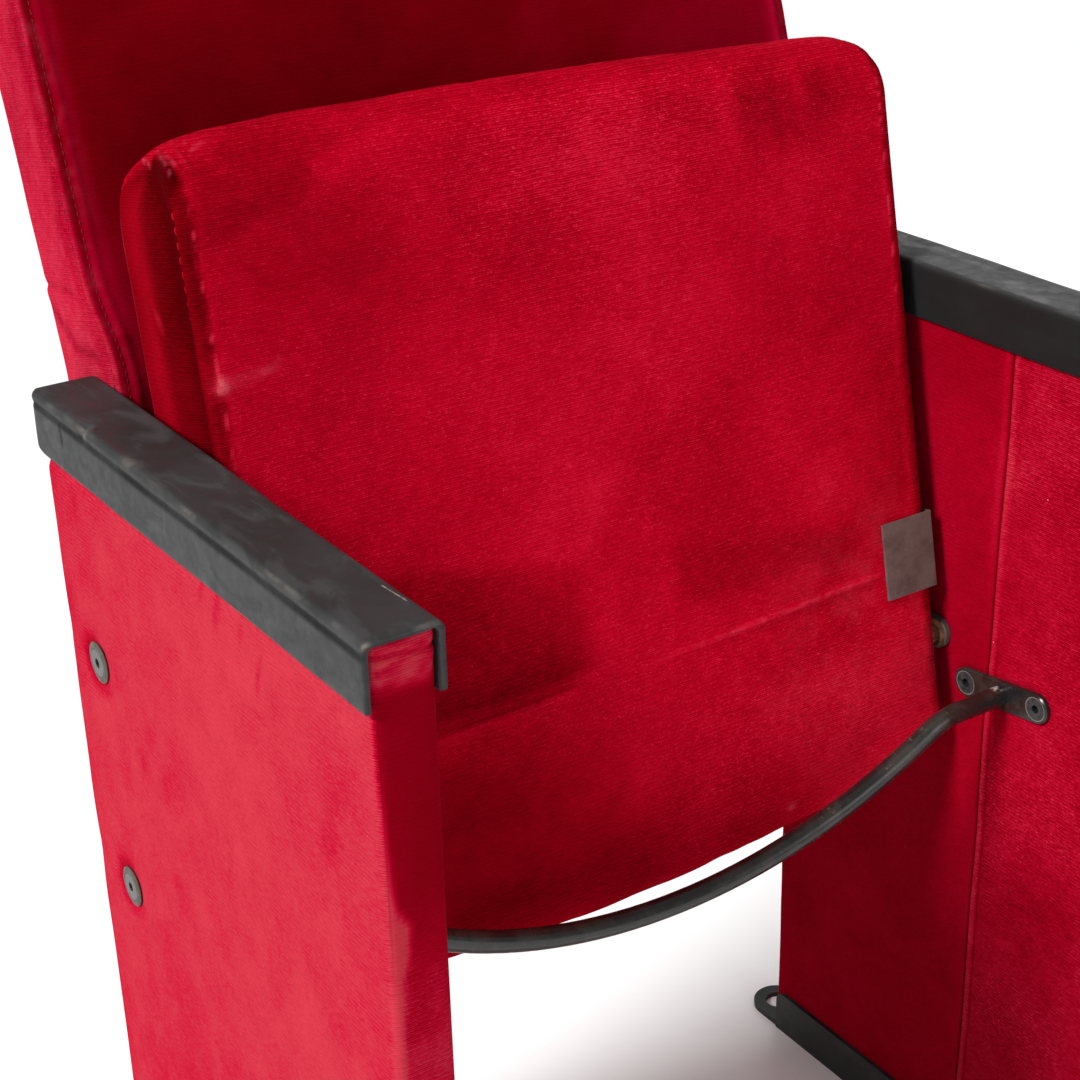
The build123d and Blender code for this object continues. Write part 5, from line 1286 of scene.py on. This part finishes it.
def backrest():
    fine = (lines((-242, -222, 1.3), (-222, 222, 4.6), (222, 242, 1.3)),
            lines((0, 22, 1.3), (22, 50, 2.8), (50, 60, 2.0)),
            lines((440, 620, 4.6), (620, 700, 2.2), (700, 868, 3.6), (868, 897, 2.0)))
    p, box, faces = shaped_grid(*fine, BACK_CORE, back_form)
    p = back_place(p)
    coarse = (lines((-242, 242, 6.4)), lines((0, 60, 6.0)), lines((440, 897, 6.4)))
    q, qbox, qf = shaped_grid(*coarse, BACK_CORE, back_form)
    q = back_place(q)
    sheet = new_object("back_cloth", metres(q), qf)
    f, ax = q[:, 1] - back_front_y(q[:, 2]), abs(q[:, 0])
    rear = q[:, 1] > back_rear_y(q[:, 2]) - 4
    seam = (ax > 231) & (f < 10)
    limit = np.where(ax > 236, 1.8, np.where(q[:, 2] > 760, 8.0, 1.5 + 6.5 * step(q[:, 2], 705, 760)))
    limit = np.where(q[:, 2] < 560, 4.0, limit)
    puff(sheet, np.where(rear | seam, 1.0, 0.0), 4.0, limit)
    move = millimetres(coords(sheet.data)) - q
    bpy.data.objects.remove(sheet)
    p = p + spread(coarse, move, box)
    ob = new_object("back_cushion", metres(p), faces)
    me = ob.data
    n = normals(me)
    x, y, z = p[:, 0], p[:, 1], p[:, 2]
    f = y - back_front_y(z)
    g = back_half(y, z) - abs(x)
    sides, front = step(abs(n[:, 0]), 0.5, 0.9), step(-n[:, 1], 0.5, 0.85)
    crest = step(n[:, 2], 0.3, 0.8) * (z > 860)
    d = 0.7 * fbm(p, (130, 200, 110), 131) + 0.22 * vnoise(p, (30, 60, 24), 132)
    # the double seam where the boxing meets the front: two rows of stitches with a ridge between
    body = (z > 452) * (1 - step(z, 862, 880))
    wavy = 0.5 * vnoise(p, (60, 60, 26), 133)
    d -= sides * body * 0.5 * bell(f, 9.3 + wavy, 1.3)
    d += sides * body * 0.8 * bell(f, 5.6 + wavy, 2.2)
    d += sides * body * 0.6 * bell(f, 13.5 + wavy, 2.6)
    d -= front * body * 0.5 * bell(g, 5.2 + wavy, 1.4)
    d += front * body * 0.9 * bell(g, 9.2 + wavy, 2.4)
    d += (sides + front) * body * 0.35 * vnoise(p, (14, 14, 7), 134) * np.exp(-((f + g - 6) / 9) ** 2)
    # the left side's slack boxing: a crease and a fold above the armrest
    left = sides * (x < 0)
    near, t = near_line(y, z, [(404, 673.5), (388, 676.5), (366, 677.5)], 1.9)
    d -= left * 1.1 * near * (1 - 0.75 * t)
    near, t = near_line(y, z, [(405, 668.5), (388, 671), (368, 671)], 4.2)
    d += left * 0.5 * near * (1 - 0.5 * t)
    near, t = near_line(y, z, [(402, 664), (380, 656), (353, 643)], 2.9)
    d -= left * 0.9 * near * t
    near, t = near_line(y, z, [(399, 652), (380, 646), (358, 637)], 5.0)
    d += left * 0.5 * near * t
    near, t = near_line(y, z, [(394, 660), (386, 646), (383, 632)], 2.2)
    d -= left * 0.9 * near * np.sin(math.pi * t)
    near, t = near_line(y, z, [(378, 640), (366, 702)], 4.5)
    d -= left * 0.8 * near * np.sin(t * math.pi)
    right = sides * (x > 0)
    near, t = near_line(y, z, [(405, 668), (385, 662), (362, 655)], 3.0)
    d -= right * 0.8 * near
    near, t = near_line(y, z, [(403, 660), (385, 653), (362, 646)], 4.2)
    d += right * 0.5 * near
    # pulls at the two lower front corners, a dished front, a tighter crest
    low = (1 - step(z, 640, 760)) * bell(abs(x), 236, 26)
    d += front * low * 0.9 * np.sin((z + 0.5 * abs(x)) / 7.0) * vnoise(p, 30, 137)
    d -= front * 1.6 * np.exp(-(x / 150) ** 2 - ((z - 800) / 80) ** 2)
    d += crest * 0.6 * vnoise(p, (24, 30, 30), 138)
    q = p + n * d[:, None]
    set_coords(me, metres(q))
    nap_and_painted_light = -0.30 + 0.25 * fbm(p, (70, 90, 70), 141)
    # painted shade: a darker band on the boxing beside the seam
    box_nap_and_painted_light = 0.21 + 0.46 * (1 - step(z, 640, 730)) - 0.30 * np.exp(-((f - 14) / 8) ** 2) + 0.22 * fbm(p, (30, 30, 60), 142)
    nap_and_painted_light = nap_and_painted_light * (1 - sides) + box_nap_and_painted_light * sides
    # on the front a painted highlight on the roll beside the seam and painted shade in its groove; painted shade in the
    # two creases of the left boxing
    nap_and_painted_light += front * (-0.33 + 0.38 * step(x, -40, 200) + 0.40 * bell(g, 10, 7) - 0.15 * bell(g, 4, 2.5) + 0.2 * (1 - step(z, 690, 800)) * step(-x, 60, 200))
    nap_and_painted_light -= left * 0.9 * near_line(y, z, [(402, 663), (380, 655), (353, 642)], 3.4)[0]
    nap_and_painted_light -= left * 0.5 * near_line(y, z, [(404, 673.5), (388, 676.5), (366, 677.5)], 2.0)[0]
    pale_pile_and_highlight = sides * (0.16 * step(f, 14, 26) + 0.10 * step(vnoise(p, (6, 6, 9), 143), 0.0, 0.6))
    # painted highlight along the roll of the seam between the front and the boxing
    pale_pile_and_highlight += (sides + front) * 0.12 * np.exp(-((f + g - 7) / 7) ** 2) * step(vnoise(p, (5, 5, 5), 144), -0.3, 0.6)
    attribute(ob, "nap_and_painted_light", np.clip(nap_and_painted_light, -1.2, 1.4))
    attribute(ob, "pale_pile_and_highlight", np.clip(pale_pile_and_highlight, 0, 1))
    attribute(ob, "worn", 0 * x)
    attribute(ob, "calm", 0.65 - 0.35 * sides)
    attribute(ob, "grain", 0.10 + 0.85 * sides)
    wear(ob, V_BACK, "back_velvet", "frame", "back_front_cover", "back_rear_cover", "back_foam")
    tree = surface_of(ob)
    runs = []
    zz = np.arange(500.0, 866.0, 1.5)
    for s in (-1, 1):
        starts = np.stack([np.full(len(zz), s * 262.0), back_front_y(zz) + 9.3, zz], 1)
        pts, nr = on_surface(tree, starts, (-s, 0, 0))
        runs.append((pts, nr, 3.0, 1.5))
        half = back_half(back_front_y(zz), zz)
        starts = np.stack([s * (half - 5.2), back_front_y(zz) - 40, zz + 13.2], 1)
        pts, nr = on_surface(tree, starts, (0, 0.9494, -0.3140))
        runs.append((pts, nr, 3.0, 1.5))
    th = stitches("back_stitching", runs, 0.34, 0.12)
    wear(th, M_THREAD, "back_velvet", "frame")
    return ob


backrest()


# ---------------------------------------------------------------- floor and light
def floor():
    ob = new_object("floor", [(-14, -14, 0), (14, -14, 0), (14, 14, 0), (-14, 14, 0)], [(0, 1, 2, 3)], False)
    k = Look("pale_floor")
    a = k.noise(3.0, detail=3)
    ob.data.materials.append(k.set(color=k.mix(k.ramp(a, 0.3, 0.7), (0.945, 0.95, 0.95), (0.96, 0.965, 0.965)), rough=0.75, spec=0.2))


def light(kind, name, at, to, power, size=1.0, color=(1, 1, 1)):
    data = bpy.data.lights.new(name, kind)
    data.energy = power
    data.color = color
    if kind == "AREA":
        data.shape = "DISK"
        data.size = size
    if kind == "SUN":
        data.angle = size
    ob = bpy.data.objects.new(name, data)
    scene.collection.objects.link(ob)
    ob.location = at
    ob.rotation_mode = "QUATERNION"
    ob.rotation_quaternion = (Vector(to) - Vector(at)).to_track_quat("-Z", "Y")


floor()
world = bpy.data.worlds.new("studio")
world.use_nodes = True
world.node_tree.nodes["Background"].inputs[0].default_value = (1, 1, 1, 1)
world.node_tree.nodes["Background"].inputs[1].default_value = 0.35
scene.world = world
light("SUN", "key", (-4.0, -0.35, 3.4), (0, 0, 0), 3.6, math.radians(15))
light("AREA", "front", (0.2, -3.3, 1.5), (0, 0, 0.5), 20, 2.2)
light("AREA", "rear", (2.4, 1.9, 1.6), (0.1, -0.1, 0.6), 9, 1.6)
